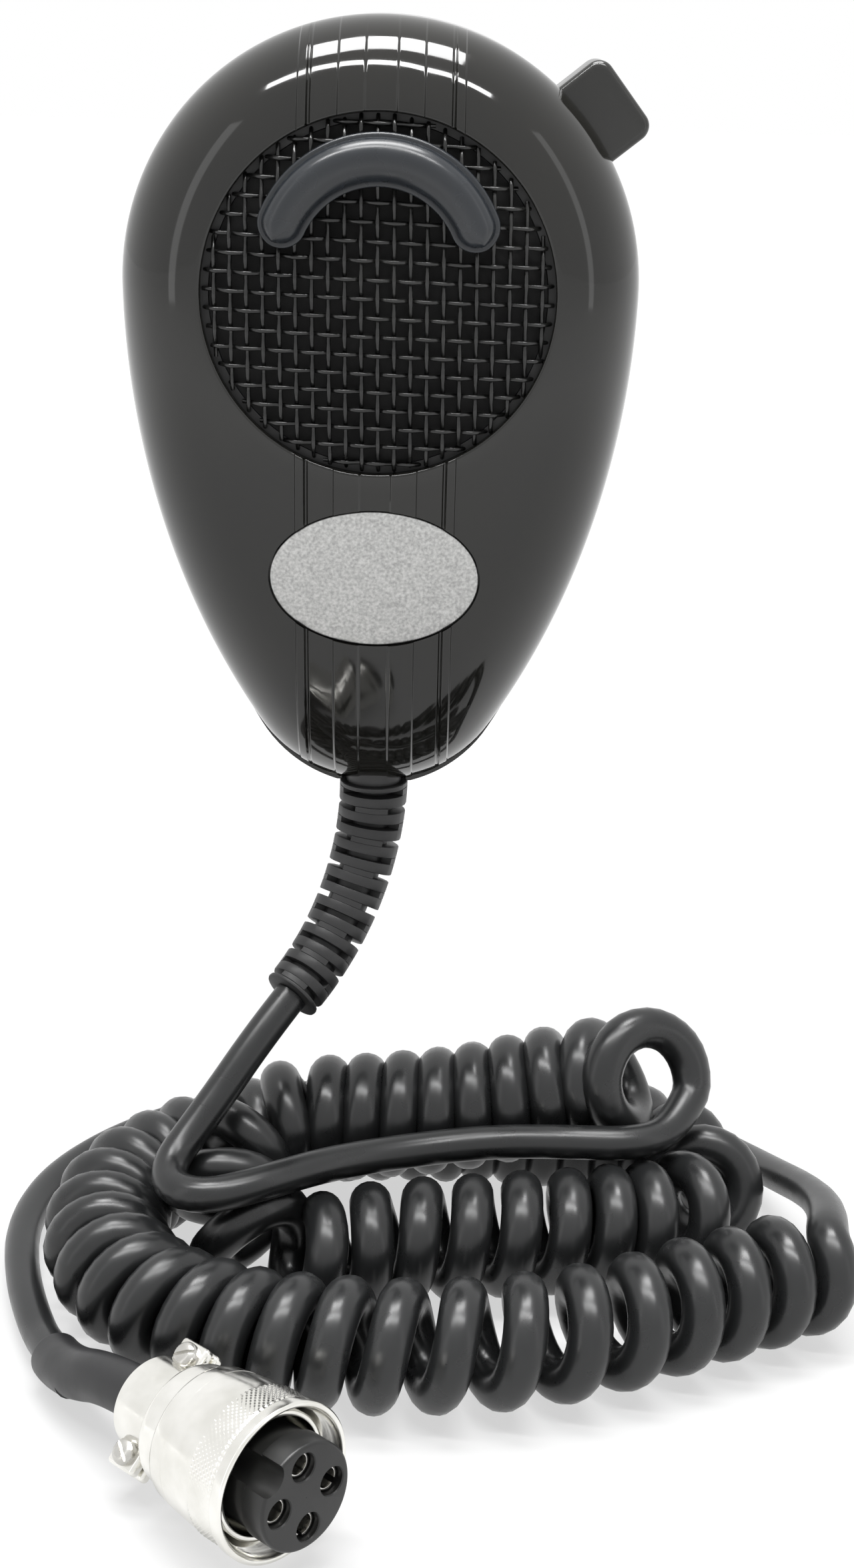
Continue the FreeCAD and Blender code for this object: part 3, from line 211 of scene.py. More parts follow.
# ---- materials
def new_material(name, colour, roughness, metallic=0.0):
    """Principled material and its tree, with the plain numbers set."""
    material = bpy.data.materials.new(name)
    material.use_nodes = True
    tree = material.node_tree
    shader = tree.nodes["Principled BSDF"]
    shader.inputs["Base Color"].default_value = (*colour, 1)
    shader.inputs["Roughness"].default_value = roughness
    shader.inputs["Metallic"].default_value = metallic
    return material, tree, shader


def noise_texture(tree, scale, detail=4.0):
    """Noise in object coordinates, which are the row frame's metres."""
    coord = tree.nodes.new("ShaderNodeTexCoord")
    texture = add_node(tree, "ShaderNodeTexNoise", Scale=scale, Detail=detail)
    tree.links.new(coord.outputs["Object"], texture.inputs["Vector"])
    return texture


def spread_roughness(tree, shader, texture, low, high):
    """Roughness that wanders between two values."""
    span = add_node(tree, "ShaderNodeMapRange", From_Min=0.3, From_Max=0.7, To_Min=low, To_Max=high)
    tree.links.new(texture.outputs["Fac"], span.inputs["Value"])
    tree.links.new(span.outputs[0], shader.inputs["Roughness"])


def spread_colour(tree, shader, texture, dark, light):
    """Base colour that wanders between two colours."""
    ramp = tree.nodes.new("ShaderNodeValToRGB")
    ramp.color_ramp.elements[0].position = 0.32
    ramp.color_ramp.elements[0].color = (*dark, 1)
    ramp.color_ramp.elements[1].position = 0.68
    ramp.color_ramp.elements[1].color = (*light, 1)
    tree.links.new(texture.outputs["Fac"], ramp.inputs[0])
    tree.links.new(ramp.outputs["Color"], shader.inputs["Base Color"])


def add_bump(tree, shader, texture, distance):
    """Fine relief of a set height, in metres."""
    bump = add_node(tree, "ShaderNodeBump", Strength=1.0, Distance=distance)
    tree.links.new(texture.outputs["Fac"], bump.inputs["Height"])
    tree.links.new(bump.outputs[0], shader.inputs["Normal"])


def moulded(name, dark, light, rough, orange_peel=0.0, grain=900.0):
    """Moulded plastic or rubber: faint colour drift, uneven gloss, fine skin."""
    material, tree, shader = new_material(name, light, rough[0])
    spread_colour(tree, shader, noise_texture(tree, 45.0), dark, light)
    spread_roughness(tree, shader, noise_texture(tree, 260.0, 6.0), *rough)
    if orange_peel:
        add_bump(tree, shader, noise_texture(tree, grain, 3.0), orange_peel)
    return material


def plated(name, dark, light, rough, grain=0.0, speckle=150.0):
    """Plated or bare metal with faint tarnish or speckle and fine wear."""
    material, tree, shader = new_material(name, light, rough[0], 1.0)
    spread_colour(tree, shader, noise_texture(tree, speckle, 5.0), dark, light)
    spread_roughness(tree, shader, noise_texture(tree, 700.0, 6.0), *rough)
    if grain:
        add_bump(tree, shader, noise_texture(tree, 2500.0, 2.0), grain)
    return material


LOOKS = {
    "case": moulded("case_gloss", (0.0085, 0.0085, 0.0075), (0.012, 0.0115, 0.0095), (0.045, 0.085),
                    1.2e-6, grain=180.0),
    "button": moulded("button_gloss", (0.016, 0.016, 0.015), (0.023, 0.023, 0.021), (0.16, 0.24)),
    "bar": moulded("bar_gloss", (0.016, 0.0185, 0.022), (0.024, 0.0275, 0.0325), (0.22, 0.30)),
    "wire": moulded("wire_paint", (0.008, 0.008, 0.008), (0.017, 0.017, 0.016), (0.15, 0.26)),
    "ring": moulded("ring_matt", (0.008, 0.008, 0.008), (0.013, 0.013, 0.013), (0.5, 0.65)),
    "cloth": moulded("cloth_black", (0.004, 0.004, 0.004), (0.008, 0.008, 0.008), (0.85, 0.98),
                     4e-5, grain=2400.0),
    "relief": moulded("relief_rubber", (0.016, 0.016, 0.0165), (0.027, 0.027, 0.028), (0.40, 0.55),
                      6e-6, grain=2600.0),
    "cord": moulded("cord_jacket", (0.0125, 0.0130, 0.0135), (0.0185, 0.0192, 0.0198), (0.25, 0.34),
                    4e-6, grain=900.0),
    "sleeve": moulded("sleeve_shrink", (0.011, 0.011, 0.012), (0.018, 0.018, 0.019), (0.34, 0.48),
                      1e-5, grain=700.0),
    "nickel": plated("nickel_bright", (0.74, 0.73, 0.68), (0.93, 0.92, 0.88), (0.12, 0.26), 1e-6),
    "screw": plated("screw_zinc", (0.42, 0.41, 0.38), (0.70, 0.69, 0.66), (0.2, 0.36), 1.5e-6),
    "contact": plated("contact_silver", (0.62, 0.61, 0.58), (0.84, 0.83, 0.80), (0.12, 0.24)),
    "insulator": moulded("insulator_black", (0.009, 0.009, 0.009), (0.016, 0.016, 0.0155),
                         (0.3, 0.42), 5e-6, grain=1500.0),
    "badge": plated("badge_satin", (0.34, 0.34, 0.335), (0.56, 0.56, 0.55), (0.40, 0.5),
                    4e-6, 2600.0),
    "leaf": plated("leaf_bronze", (0.45, 0.28, 0.12), (0.66, 0.45, 0.22), (0.2, 0.34)),
    "laminate": moulded("laminate_brown", (0.10, 0.05, 0.02), (0.19, 0.10, 0.045), (0.4, 0.6)),
    "gasket": moulded("gasket_rubber", (0.012, 0.012, 0.012), (0.02, 0.02, 0.02), (0.6, 0.75)),
    "cartridge": plated("cartridge_case", (0.5, 0.5, 0.5), (0.66, 0.66, 0.67), (0.25, 0.4)),
}


def dress(thing, look, node=None, body="case"):
    """Give a new piece its material and its body, and hide the CAD node it stands for."""
    thing.data.materials.clear()
    thing.data.materials.append(LOOKS[look])
    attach(thing, body)
    if node:
        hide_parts(node)
    return thing


# ---- mesh helpers
def mesh_object(name, vertices, faces):
    """Piece made of these vertices and faces, its normals turned outward."""
    mesh = bpy.data.meshes.new(name)
    mesh.from_pydata([tuple(v) for v in vertices], [], faces)
    mesh.validate()
    work = bmesh.new()
    work.from_mesh(mesh)
    bmesh.ops.recalc_face_normals(work, faces=work.faces)
    if work.calc_volume(signed=True) < 0:
        bmesh.ops.reverse_faces(work, faces=work.faces)
    work.to_mesh(mesh)
    work.free()
    return link_object(name, mesh)


def shade(thing, limit=35.0):
    """Smooth shading with creases kept where faces meet at more than a limit."""
    work = bmesh.new()
    work.from_mesh(thing.data)
    for face in work.faces:
        face.smooth = True
    crease = math.radians(limit)
    for edge in work.edges:
        edge.smooth = not (len(edge.link_faces) == 2 and edge.calc_face_angle(0.0) > crease)
    work.to_mesh(thing.data)
    work.free()
    return thing


def applied(thing):
    """Replace a piece's mesh by what its modifiers make of it."""
    graph = bpy.context.evaluated_depsgraph_get()
    mesh = bpy.data.meshes.new_from_object(thing.evaluated_get(graph))
    old = thing.data
    thing.modifiers.clear()
    thing.data = mesh
    bpy.data.meshes.remove(old)
    return thing


def boolean(thing, tool, kind="DIFFERENCE"):
    """Cut a piece with a tool, or join them, and drop the tool."""
    change = thing.modifiers.new("cut", "BOOLEAN")
    change.operation = kind
    change.solver = "MANIFOLD"
    change.object = tool
    applied(thing)
    bpy.data.objects.remove(tool)
    return thing


def stitched(rings, capped=False):
    """Faces between rings of equal length, with end caps if asked."""
    count = len(rings[0])
    vertices = [point for ring in rings for point in ring]
    faces = []
    for level in range(len(rings) - 1):
        for side in range(count):
            a = level * count + side
            b = level * count + (side + 1) % count
            faces.append((a, b, b + count, a + count))
    if capped:
        faces.append(tuple(range(count))[::-1])
        faces.append(tuple(range((len(rings) - 1) * count, len(rings) * count)))
    return vertices, faces


def looped(rings):
    """Faces between rings, where the last ring joins the first."""
    vertices, faces = stitched(rings + [rings[0]])
    total = len(rings) * len(rings[0])
    return vertices[:total], [tuple(index % total for index in face) for face in faces]


def full_turn(count):
    """Even angles round a circle."""
    return [2 * math.pi * step / count for step in range(count)]


def quarter(steps, first=0):
    """Sines and cosines of even steps through a quarter turn."""
    turns = [math.pi / 2 * step / steps for step in range(first, steps + 1)]
    return [(math.sin(turn), math.cos(turn)) for turn in turns]


def transported(line):
    """Tangent and a slowly turning side vector at each point of a line."""
    tangents = []
    for number, point in enumerate(line):
        before = line[max(number - 1, 0)]
        after = line[min(number + 1, len(line) - 1)]
        tangents.append((after - before).normalized())
    side = tangents[0].orthogonal().normalized()
    frames = []
    for tangent in tangents:
        side = (side - tangent * side.dot(tangent)).normalized()
        frames.append((tangent, side, tangent.cross(side)))
    return frames


def tube(name, line, radius_at, sides=16):
    """Closed round tube along a line; the radius may change along it."""
    rings = []
    total = len(line) - 1
    for number, (point, (tangent, side, other)) in enumerate(zip(line, transported(line))):
        radius = radius_at(number / total)
        rings.append([point + side * (radius * math.cos(turn)) + other * (radius * math.sin(turn))
                      for turn in full_turn(sides)])
    return shade(mesh_object(name, *stitched(rings, True)), 60.0)


# ---- case surface
HEAD_Z = 1.4
TIP_Z = -48.0
HEAD_R, TIP_R, FLANK_R = 31.8, 17.6, 116.0
FRONT_Y, BACK_Y, PARTING_Y = -44.0, -7.5, -24.0
FRONT_CROWN, BACK_CROWN = 180.0, 260.0
FRONT_ROUND, BACK_ROUND = 11.0, 8.0
WALL = 2.2
TIP_FLAT_Z = -64.9
OPENING_R = 21.1
BAND = 12.0
SPAN = HEAD_Z - TIP_Z
RISE = ((FLANK_R - HEAD_R) ** 2 - (FLANK_R - TIP_R) ** 2 + SPAN**2) / (2 * SPAN)
FLANK_X = math.sqrt((FLANK_R - HEAD_R) ** 2 - RISE**2)
FLANK_Z = HEAD_Z - RISE
HEAD_TURN = math.atan2(RISE, FLANK_X)
TIP_TURN = math.atan2(FLANK_Z - TIP_Z, FLANK_X)
# how far out of the case its ribs stand, as steps between two distances from the middle
RIB_STEPS = (
    (1.68, 2.10, 0.30), (4.92, 5.20, -0.30), (8.12, 8.36, -0.16),
    (8.50, 8.80, 0.46), (9.66, 9.86, -0.30),
)
# gentle crowns of the panels between those steps: from, to, height
PANEL_CROWNS = ((2.10, 4.92, 0.03), (5.20, 8.12, -0.03))


def inset_at(x, z):
    """How far a point lies inside the teardrop outline."""
    x = abs(x)
    turn = math.atan2(z - FLANK_Z, x + FLANK_X)
    if turn > HEAD_TURN:
        return HEAD_R - math.hypot(x, z - HEAD_Z)
    if turn < -TIP_TURN:
        return TIP_R - math.hypot(x, z - TIP_Z)
    return FLANK_R - math.hypot(x + FLANK_X, z - FLANK_Z)


def rim_drop(inset, radius):
    """How far a rounded rim falls away from the crown, at an inset from the outline."""
    if inset >= radius:
        return 0.0
    short = radius - max(inset, 0.0)
    return radius - math.sqrt(max(radius**2 - short**2, 0.0))


def ribs(x):
    """Height of the panels and beads at a distance from the middle."""
    height = 0.0
    for start, stop, step in RIB_STEPS:
        share = min(max((abs(x) - start) / (stop - start), 0.0), 1.0)
        height += step * share * share * (3 - 2 * share)
    for start, stop, lift in PANEL_CROWNS:
        if start < abs(x) < stop:
            height += lift * math.sin(math.pi * (abs(x) - start) / (stop - start))
    return height


def front_y(x, z, inset=0.0):
    """Depth of the case's front, or of a surface drawn in from it."""
    ball = FRONT_CROWN - inset
    crown = FRONT_Y + FRONT_CROWN - math.sqrt(ball**2 - x**2 - (z - HEAD_Z) ** 2)
    drop = rim_drop(inset_at(x, z) - inset, FRONT_ROUND - inset)
    return min(crown + drop - (ribs(x) if inset == 0 else 0), PARTING_Y - 0.5)


def back_y(x, z, inset=0.0):
    """Depth of the case's back, or of a surface drawn in from it."""
    ball = BACK_CROWN - inset
    crown = BACK_Y - BACK_CROWN + math.sqrt(ball**2 - x**2 - (z - HEAD_Z) ** 2)
    drop = rim_drop(inset_at(x, z) - inset, BACK_ROUND - inset)
    return max(crown - drop + (ribs(x) if inset == 0 else 0), PARTING_Y + 0.5)


def band_columns():
    """Upright lines across the ribbed middle, close together where a rib steps."""
    marks = {0.0, BAND}
    for start, stop, _ in RIB_STEPS:
        marks.update(start + (stop - start) * share for share in
                     (-0.2, 0.0, 0.17, 0.33, 0.5, 0.67, 0.83, 1.0, 1.2))
    ordered = sorted(marks)
    filled = [ordered[0]]
    for mark in ordered[1:]:
        gap = mark - filled[-1]
        if gap < 0.02:
            continue
        parts = max(int(math.ceil(gap / 0.75)), 1)
        start = filled[-1]
        filled.extend(start + gap * (part + 1) / parts for part in range(parts))
    return filled


COLUMNS = band_columns()


def side_outline(inset):
    """Points down the right side of the inset outline, from the ribbed band to the band again."""
    head, flank, tip = HEAD_R - inset, FLANK_R - inset, TIP_R - inset
    points = []
    start = math.acos(min(BAND / head, 1.0))
    for step in range(161):
        turn = start + (HEAD_TURN - start) * step / 160
        points.append((head * math.cos(turn), HEAD_Z + head * math.sin(turn)))
    for step in range(1, 201):
        turn = HEAD_TURN + (-TIP_TURN - HEAD_TURN) * step / 200
        points.append((-FLANK_X + flank * math.cos(turn), FLANK_Z + flank * math.sin(turn)))
    if tip > 0:
        for step in range(1, 121):
            turn = -TIP_TURN - (math.pi / 2 - TIP_TURN) * step / 120
            points.append((tip * math.cos(turn), TIP_Z + tip * math.sin(turn)))
    kept = []
    for before, after in zip(points, points[1:]):
        kept.append(before)
        if after[0] < BAND and len(kept) > 20:
            share = (before[0] - BAND) / (before[0] - after[0])
            kept.append((BAND, before[1] + (after[1] - before[1]) * share))
            break
    return kept


def spaced(points, count):
    """The same line in a set number of equal steps."""
    places = np.array(points)
    steps = np.hypot(*np.diff(places, axis=0).T)
    reached = np.concatenate([[0], np.cumsum(steps)])
    wanted = np.linspace(0, reached[-1], count + 1)
    columns = [np.interp(wanted, reached, places[:, axis]) for axis in range(2)]
    return list(zip(*columns))


SIDE_STEPS, WALL_STEPS = 84, 6


def loop_round(top_of, bottom_of, side_of):
    """Closed loop of points: over the top of the band, right side, bottom, left side."""
    right = side_of()
    top = [(x, top_of(x)) for x in COLUMNS]
    bottom = [(x, bottom_of(x)) for x in COLUMNS]
    half = top[:-1] + right[:-1] + bottom[::-1]
    mirror = [(-x, z) for x, z in half[1:-1]][::-1]
    return half + mirror


def outline_loop(inset):
    """The inset outline, with a point on each of the band's columns."""
    head, tip = HEAD_R - inset, TIP_R - inset
    return loop_round(
        lambda x: HEAD_Z + math.sqrt(head**2 - x**2),
        lambda x: max(TIP_Z - math.sqrt(tip**2 - x**2), TIP_FLAT_Z),
        lambda: spaced(side_outline(inset), SIDE_STEPS),
    )


def circle_loop(radius):
    """A circle about the head's middle, with a point on each of the band's columns."""
    edge = math.acos(BAND / radius)

    def side():
        turns = [edge - 2 * edge * step / SIDE_STEPS for step in range(SIDE_STEPS + 1)]
        return [(radius * math.cos(turn), HEAD_Z + radius * math.sin(turn)) for turn in turns]

    return loop_round(
        lambda x: HEAD_Z + math.sqrt(radius**2 - x**2),
        lambda x: HEAD_Z - math.sqrt(radius**2 - x**2),
        side,
    )


def between(first, second, share):
    """A loop part of the way from one loop to another."""
    return [(a[0] + (b[0] - a[0]) * share, a[1] + (b[1] - a[1]) * share)
            for a, b in zip(first, second)]


def at_depth(loop, depth):
    """Loop with its depths, either a number or a function of the place."""
    if callable(depth):
        return [Vector((x, depth(x, z), z)) * MM for x, z in loop]
    return [Vector((x, depth, z)) * MM for x, z in loop]


def wall_rows(outline, start_of, stop):
    """Rows down the side wall, from where its rounded rim ends to the parting."""
    rows = []
    for step in range(1, WALL_STEPS + 1):
        share = step / WALL_STEPS
        rows.append([Vector((x, start_of(x, z) * (1 - share) + stop * share, z)) * MM
                     for x, z in outline])
    return rows


def front_case():
    """Front half: bore, rounded lip, ribbed face, rounded rim, side wall, inner skin."""
    outline = outline_loop(0.0)
    lip = 0.4
    rows = [at_depth(circle_loop(OPENING_R), -39.6), at_depth(circle_loop(OPENING_R), -41.2)]
    for step in range(6):
        turn = math.pi / 2 * (1 - step / 5)
        loop = circle_loop(OPENING_R + lip * (1 - math.sin(turn)))
        fall = lip * (1 - math.cos(turn))
        rows.append(at_depth(loop, lambda x, z, fall=fall: front_y(x, z) + fall))
    start = circle_loop(OPENING_R + lip)
    steps = 46
    for step in range(1, steps + 1):
        share = 1 - (1 - step / steps) ** 2
        rows.append(at_depth(between(start, outline, share), front_y))
    rows += wall_rows(outline, front_y, PARTING_Y - 0.25)
    rows.append(at_depth(outline_loop(0.07), PARTING_Y - 0.10))
    rows.append(at_depth(outline_loop(0.25), PARTING_Y - 0.03))
    inner = outline_loop(WALL)
    rows.append(at_depth(inner, PARTING_Y - 0.03))
    for step in range(12):
        share = (1 - step / 12) ** 2
        loop = between(inner, circle_loop(OPENING_R + 0.1), 1 - share)
        rows.append(at_depth(loop, lambda x, z: front_y(x, z, WALL)))
    return mesh_object("case_front", *looped(rows))


def back_grid(inset):
    """Rows of the back's skin over the band and round its sides, rim first."""
    steps = 44
    reach = HEAD_R - BAND - inset
    rows = []
    for step in range(steps):
        depth = inset + reach * (step / steps) ** 2
        head, tip = HEAD_R - depth, TIP_R - inset
        side = spaced(side_outline(depth), SIDE_STEPS)
        low = side[-1][1]
        edge_low = TIP_Z - math.sqrt(tip**2 - BAND**2)
        fade = 1 - (low - edge_low) / (HEAD_Z - edge_low)
        rows.append(loop_round(
            lambda x: HEAD_Z + math.sqrt(max(head**2 - x**2, 0.0)),
            lambda x: low + (max(TIP_Z - math.sqrt(tip**2 - x**2), TIP_FLAT_Z) - edge_low) * fade,
            lambda: side,
        ))
    pole = (BAND, HEAD_Z)
    for step in range(9):
        share = 1 - step / 8
        rows.append(loop_round(
            lambda x: HEAD_Z + share * math.sqrt(max(BAND**2 - x**2, 0.0)),
            lambda x: HEAD_Z,
            lambda: [pole] * (SIDE_STEPS + 1),
        ))
    return rows


def rear_case():
    """Rear half: side wall, rounded rim, ribbed back, inner skin."""
    grid = back_grid(0.0)
    inner = back_grid(WALL)
    outline = grid[0]
    rows = [at_depth(loop, lambda x, z: back_y(x, z, WALL)) for loop in inner[::-1]]
    rows.append(at_depth(inner[0], PARTING_Y + 0.03))
    rows.append(at_depth(outline_loop(0.25), PARTING_Y + 0.03))
    rows.append(at_depth(outline_loop(0.07), PARTING_Y + 0.10))
    wall = wall_rows(outline, back_y, PARTING_Y + 0.25)
    rows += wall[::-1]
    rows += [at_depth(loop, back_y) for loop in grid]
    vertices, faces = stitched(rows)
    thing = mesh_object("case_rear", vertices, faces)
    work = bmesh.new()
    work.from_mesh(thing.data)
    bmesh.ops.remove_doubles(work, verts=work.verts, dist=2e-6)
    bmesh.ops.dissolve_degenerate(work, edges=work.edges, dist=1e-7)
    bmesh.ops.recalc_face_normals(work, faces=work.faces)
    if work.calc_volume(signed=True) < 0:
        bmesh.ops.reverse_faces(work, faces=work.faces)
    work.to_mesh(thing.data)
    work.free()
    return thing


def box_tool(size, place, turn=None, bevel=0.0):
    """Box, with rounded edges if asked, in millimetres."""
    work = bmesh.new()
    bmesh.ops.create_cube(work, size=1.0)
    bmesh.ops.scale(work, vec=Vector(size) * MM, verts=work.verts)
    if bevel:
        bmesh.ops.bevel(work, geom=work.edges, offset=bevel * MM, segments=6, profile=0.5,
                        affect="EDGES")
    matrix = Matrix.Translation(Vector(place) * MM)
    if turn is not None:
        matrix = matrix @ turn
    bmesh.ops.transform(work, matrix=matrix, verts=work.verts)
    mesh = bpy.data.meshes.new("tool")
    work.to_mesh(mesh)
    work.free()
    return link_object("tool", mesh)


def spun(name, profile, place=(0, 0, 0), axis=(0, 1, 0), segments=72):
    """Turned form from (along, radius) pairs in millimetres, about an axis at a place."""
    turn = Vector(axis).to_track_quat("Z", "X").to_matrix()
    centre = Vector(place)
    rings = []
    for along, radius in profile:
        spots = [Vector((radius * math.cos(angle), radius * math.sin(angle), along))
                 for angle in full_turn(segments)]
        rings.append([(centre + turn @ spot) * MM for spot in spots])
    if profile[0] == profile[-1]:
        return mesh_object(name, *looped(rings[:-1]))
    return mesh_object(name, *stitched(rings, True))


PTT_TURN = Matrix.Rotation(math.radians(-38.5), 4, "Y")
PTT_HEAD = Vector((0, PARTING_Y, HEAD_Z))


def ptt_spot(out, across, up):
    """Place in the button's own frame: out along its travel, across, up the wall."""
    return PTT_HEAD + (PTT_TURN @ Vector((out, across, up)))


def elliptic_tool(half_x, half_z, centre_z, front, back_of):
    """Elliptical plug whose back follows a depth function."""
    rings = []
    for share in (1.0, 1.0, 0.75, 0.5, 0.25):
        ring = []
        for turn in full_turn(120):
            x = half_x * share * math.cos(turn)
            z = centre_z + half_z * share * math.sin(turn)
            y = back_of(x, z) if rings else front
            ring.append(Vector((x, y, z)) * MM)
        rings.append(ring)
    return mesh_object("tool", *stitched(rings, True))


BADGE_HALF_X, BADGE_HALF_Z, BADGE_Z = 13.0, 8.9, -33.3
SCREW_SPOTS = ((0.0, 28.0), (-15.0, -27.0), (15.0, -27.0))


def cut_openings(thing, front):
    """Openings that a case half shares with the other, and its own."""
    slot = box_tool((16, 9.9, 11.5), ptt_spot(36, 0, 0), PTT_TURN, 1.5)
    boolean(thing, slot)
    way = spun("tool", [(-6.0, 3.88), (7.0, 3.88)], (0, -23.9, TIP_FLAT_Z), (0, 0, 1), 64)
    boolean(thing, way)
    if front:
        pocket = elliptic_tool(BADGE_HALF_X + 0.15, BADGE_HALF_Z + 0.15, BADGE_Z, -50,
                               lambda x, z: front_y(x, z, 1.0))
        boolean(thing, pocket)
        return
    for x, z in SCREW_SPOTS:
        tool = spun("tool", [(-11.6, 3.1), (0.0, 3.1)], (x, 0, z), (0, 1, 0), 64)
        boolean(thing, tool)


case_front = front_case()
cut_openings(case_front, True)
shade(case_front, 30.0)
dress(case_front, "case", "front_shell")

case_rear = rear_case()
cut_openings(case_rear, False)
shade(case_rear, 30.0)
dress(case_rear, "case", "rear_shell")

pad = spun("hang_up_pad", [(-9.0, 7.9), (-7.35, 8.15), (-7.2, 8.0), (-7.05, 7.95), (-6.95, 7.85),
                           (-6.9, 7.7), (-6.9, 2.0), (-9.0, 2.0), (-9.0, 7.9)], segments=96)
shade(pad)
dress(pad, "case")


# ---- grille mesh
MESH_R = 20.8
MESH_CROWN = 100.0
MESH_FRONT = -44.4
COLUMN_PITCH, ROW_PITCH = 1.94, 2.2
WIRE_R, CRIMP = 0.27, 0.33
# where the mesh starts to turn in, how fast, and how far each set of wires leans and drifts
MESH_EDGE, EDGE_FALL = 19.0, 0.28
UPRIGHT_LEAN, LEVEL_LEAN, WIRE_DRIFT = 0.0157, 0.026, 0.03


def mesh_y(x, up):
    """Depth of the woven mesh's middle surface, which turns in at its edge."""
    radius = math.hypot(x, up)
    dome = MESH_FRONT + MESH_CROWN - math.sqrt(MESH_CROWN**2 - radius**2)
    return dome + EDGE_FALL * max(radius - MESH_EDGE, 0.0) ** 2


def woven_wires():
    """Every wire of the plain weave as a round tube that rises and dips at its crossings."""
    pieces = []
    columns = int(MESH_R / COLUMN_PITCH)
    rows = int(MESH_R / ROW_PITCH)
    for upright in (True, False):
        count = columns if upright else rows
        pitch = COLUMN_PITCH if upright else ROW_PITCH
        cross = ROW_PITCH if upright else COLUMN_PITCH
        for number in range(-count, count + 1):
            offset = number * pitch
            reach = math.sqrt(max(MESH_R**2 - offset**2, 0.0))
            if reach < 2.5:
                continue
            steps = max(int(2 * reach / cross * 8), 12)
            line = []
            for step in range(steps + 1):
                along = -reach + 2 * reach * step / steps
                wave = math.cos(math.pi * (along / cross + number))
                depth = CRIMP * wave * (-1 if upright else 1)
                drift = WIRE_DRIFT * noise.noise(Vector((along * 0.4, offset * 1.7, 5.0 + upright)))
                if upright:
                    x, up = offset - UPRIGHT_LEAN * along + drift, along
                else:
                    x, up = along, offset - LEVEL_LEAN * along + drift
                line.append(Vector((x, mesh_y(x, up) + depth, HEAD_Z + up)))
            pieces.append(line)
    vertices, faces = [], []
    round_wire = [(WIRE_R * math.cos(turn), WIRE_R * math.sin(turn)) for turn in full_turn(8)]
    for line in pieces:
        rings = []
        for point, (_, side, other) in zip(line, transported(line)):
            rings.append([(point + side * along + other * up) * MM for along, up in round_wire])
        first = len(vertices)
        more, shell = stitched(rings, True)
        vertices += more
        faces += [tuple(index + first for index in face) for face in shell]
    return mesh_object("grille_wires", vertices, faces)


wires = shade(woven_wires(), 60.0)
dress(wires, "wire", "grille_mesh")


# ---- lip bar
BAR_R, BAR_WIDTH, BAR_THIN = 14.6, 5.0, 0.9
BAR_Z = HEAD_Z + 3.8
BAR_HALF = math.radians(66.0)
BAR_TOP = -47.0


def seat_y(x, z):
    """Depth of the surface that the bar's foot rests on."""
    inside = (MESH_CROWN + 0.62) ** 2 - x**2 - (z - HEAD_Z) ** 2
    return MESH_FRONT + MESH_CROWN - math.sqrt(inside)


def bar_sweep(name, extra, y_at, base_at):
    """Crescent with rounded ends; y_at gives the depth at a distance from its edge."""
    stations = []
    turns = 72
    for step in range(turns + 1):
        turn = -BAR_HALF + 2 * BAR_HALF * step / turns
        outer = Vector((BAR_R * math.sin(turn), BAR_R * math.cos(turn)))
        inner_r = BAR_R - BAR_WIDTH + BAR_THIN / 2
        inner = Vector((inner_r * math.sin(turn), inner_r * math.cos(turn) - BAR_THIN / 2))
        middle = (outer + inner) / 2
        across = (outer - inner).normalized()
        stations.append((middle, across, (outer - inner).length / 2 + extra))
    caps = []
    for end, way in ((0, -1), (-1, 1)):
        middle, across, half = stations[end]
        along = Vector((across.y, -across.x)) * way
        caps.append([(middle + along * (half * out), across, max(half * wide, 0.02))
                     for out, wide in quarter(12, 1)])
    stations = caps[0][::-1] + stations + caps[1]
    rings = []
    for middle, across, half in stations:
        ring = []
        for step in range(25):
            lean = math.radians(-90 + 180 * step / 24)
            spot = middle + across * (half * math.sin(lean))
            x, z = spot.x, BAR_Z + spot.y
            ring.append(Vector((x, y_at(half * (1 - abs(math.sin(lean))), x, z), z)) * MM)
        for side in (1, -1):
            spot = middle + across * (half * side)
            x, z = spot.x, BAR_Z + spot.y
            ring.append(Vector((x, base_at(x, z), z)) * MM)
        rings.append(ring)
    return mesh_object(name, *stitched(rings, True))


ridge = bar_sweep("lip_bar_ridge", 0.0,
                  lambda edge, x, z: BAR_TOP + rim_drop(edge, 2.2) + 0.04 * max(2.5 - edge, 0.0),
                  lambda x, z: seat_y(x, z) + 0.3)
foot = bar_sweep("lip_bar_foot", 0.55,
                 lambda edge, x, z: seat_y(x, z) - 0.62 + rim_drop(edge, 0.3),
                 lambda x, z: seat_y(x, z) + 0.3)
for piece in (ridge, foot):
    shade(piece, 50.0)
    dress(piece, "bar", "lip_bar")


# ---- badge
def badge_plate():
    """Bare oval plate with a rounded edge, crowned like the case."""
    face = 0.1
    rows = [(1.0, 0.85), (1.0, 0.25)]
    rows += [(1 - 0.022 * (1 - across), 0.25 * (1 - up)) for up, across in quarter(5, 1)]
    rows += [(share, 0.0) for share in (0.9, 0.75, 0.6, 0.45, 0.3, 0.15, 0.04)]
    rings = []
    for share, fall in rows:
        ring = []
        for turn in full_turn(144):
            x = BADGE_HALF_X * share * math.cos(turn)
            z = BADGE_Z + BADGE_HALF_Z * share * math.sin(turn)
            inside = (FRONT_CROWN - face) ** 2 - x**2 - (z - HEAD_Z) ** 2
            ring.append(Vector((x, FRONT_Y + FRONT_CROWN - math.sqrt(inside) + fall, z)) * MM)
        rings.append(ring)
    return mesh_object("badge_oval", *stitched(rings, True))


badge = shade(badge_plate(), 50.0)
dress(badge, "badge", "badge_plate")


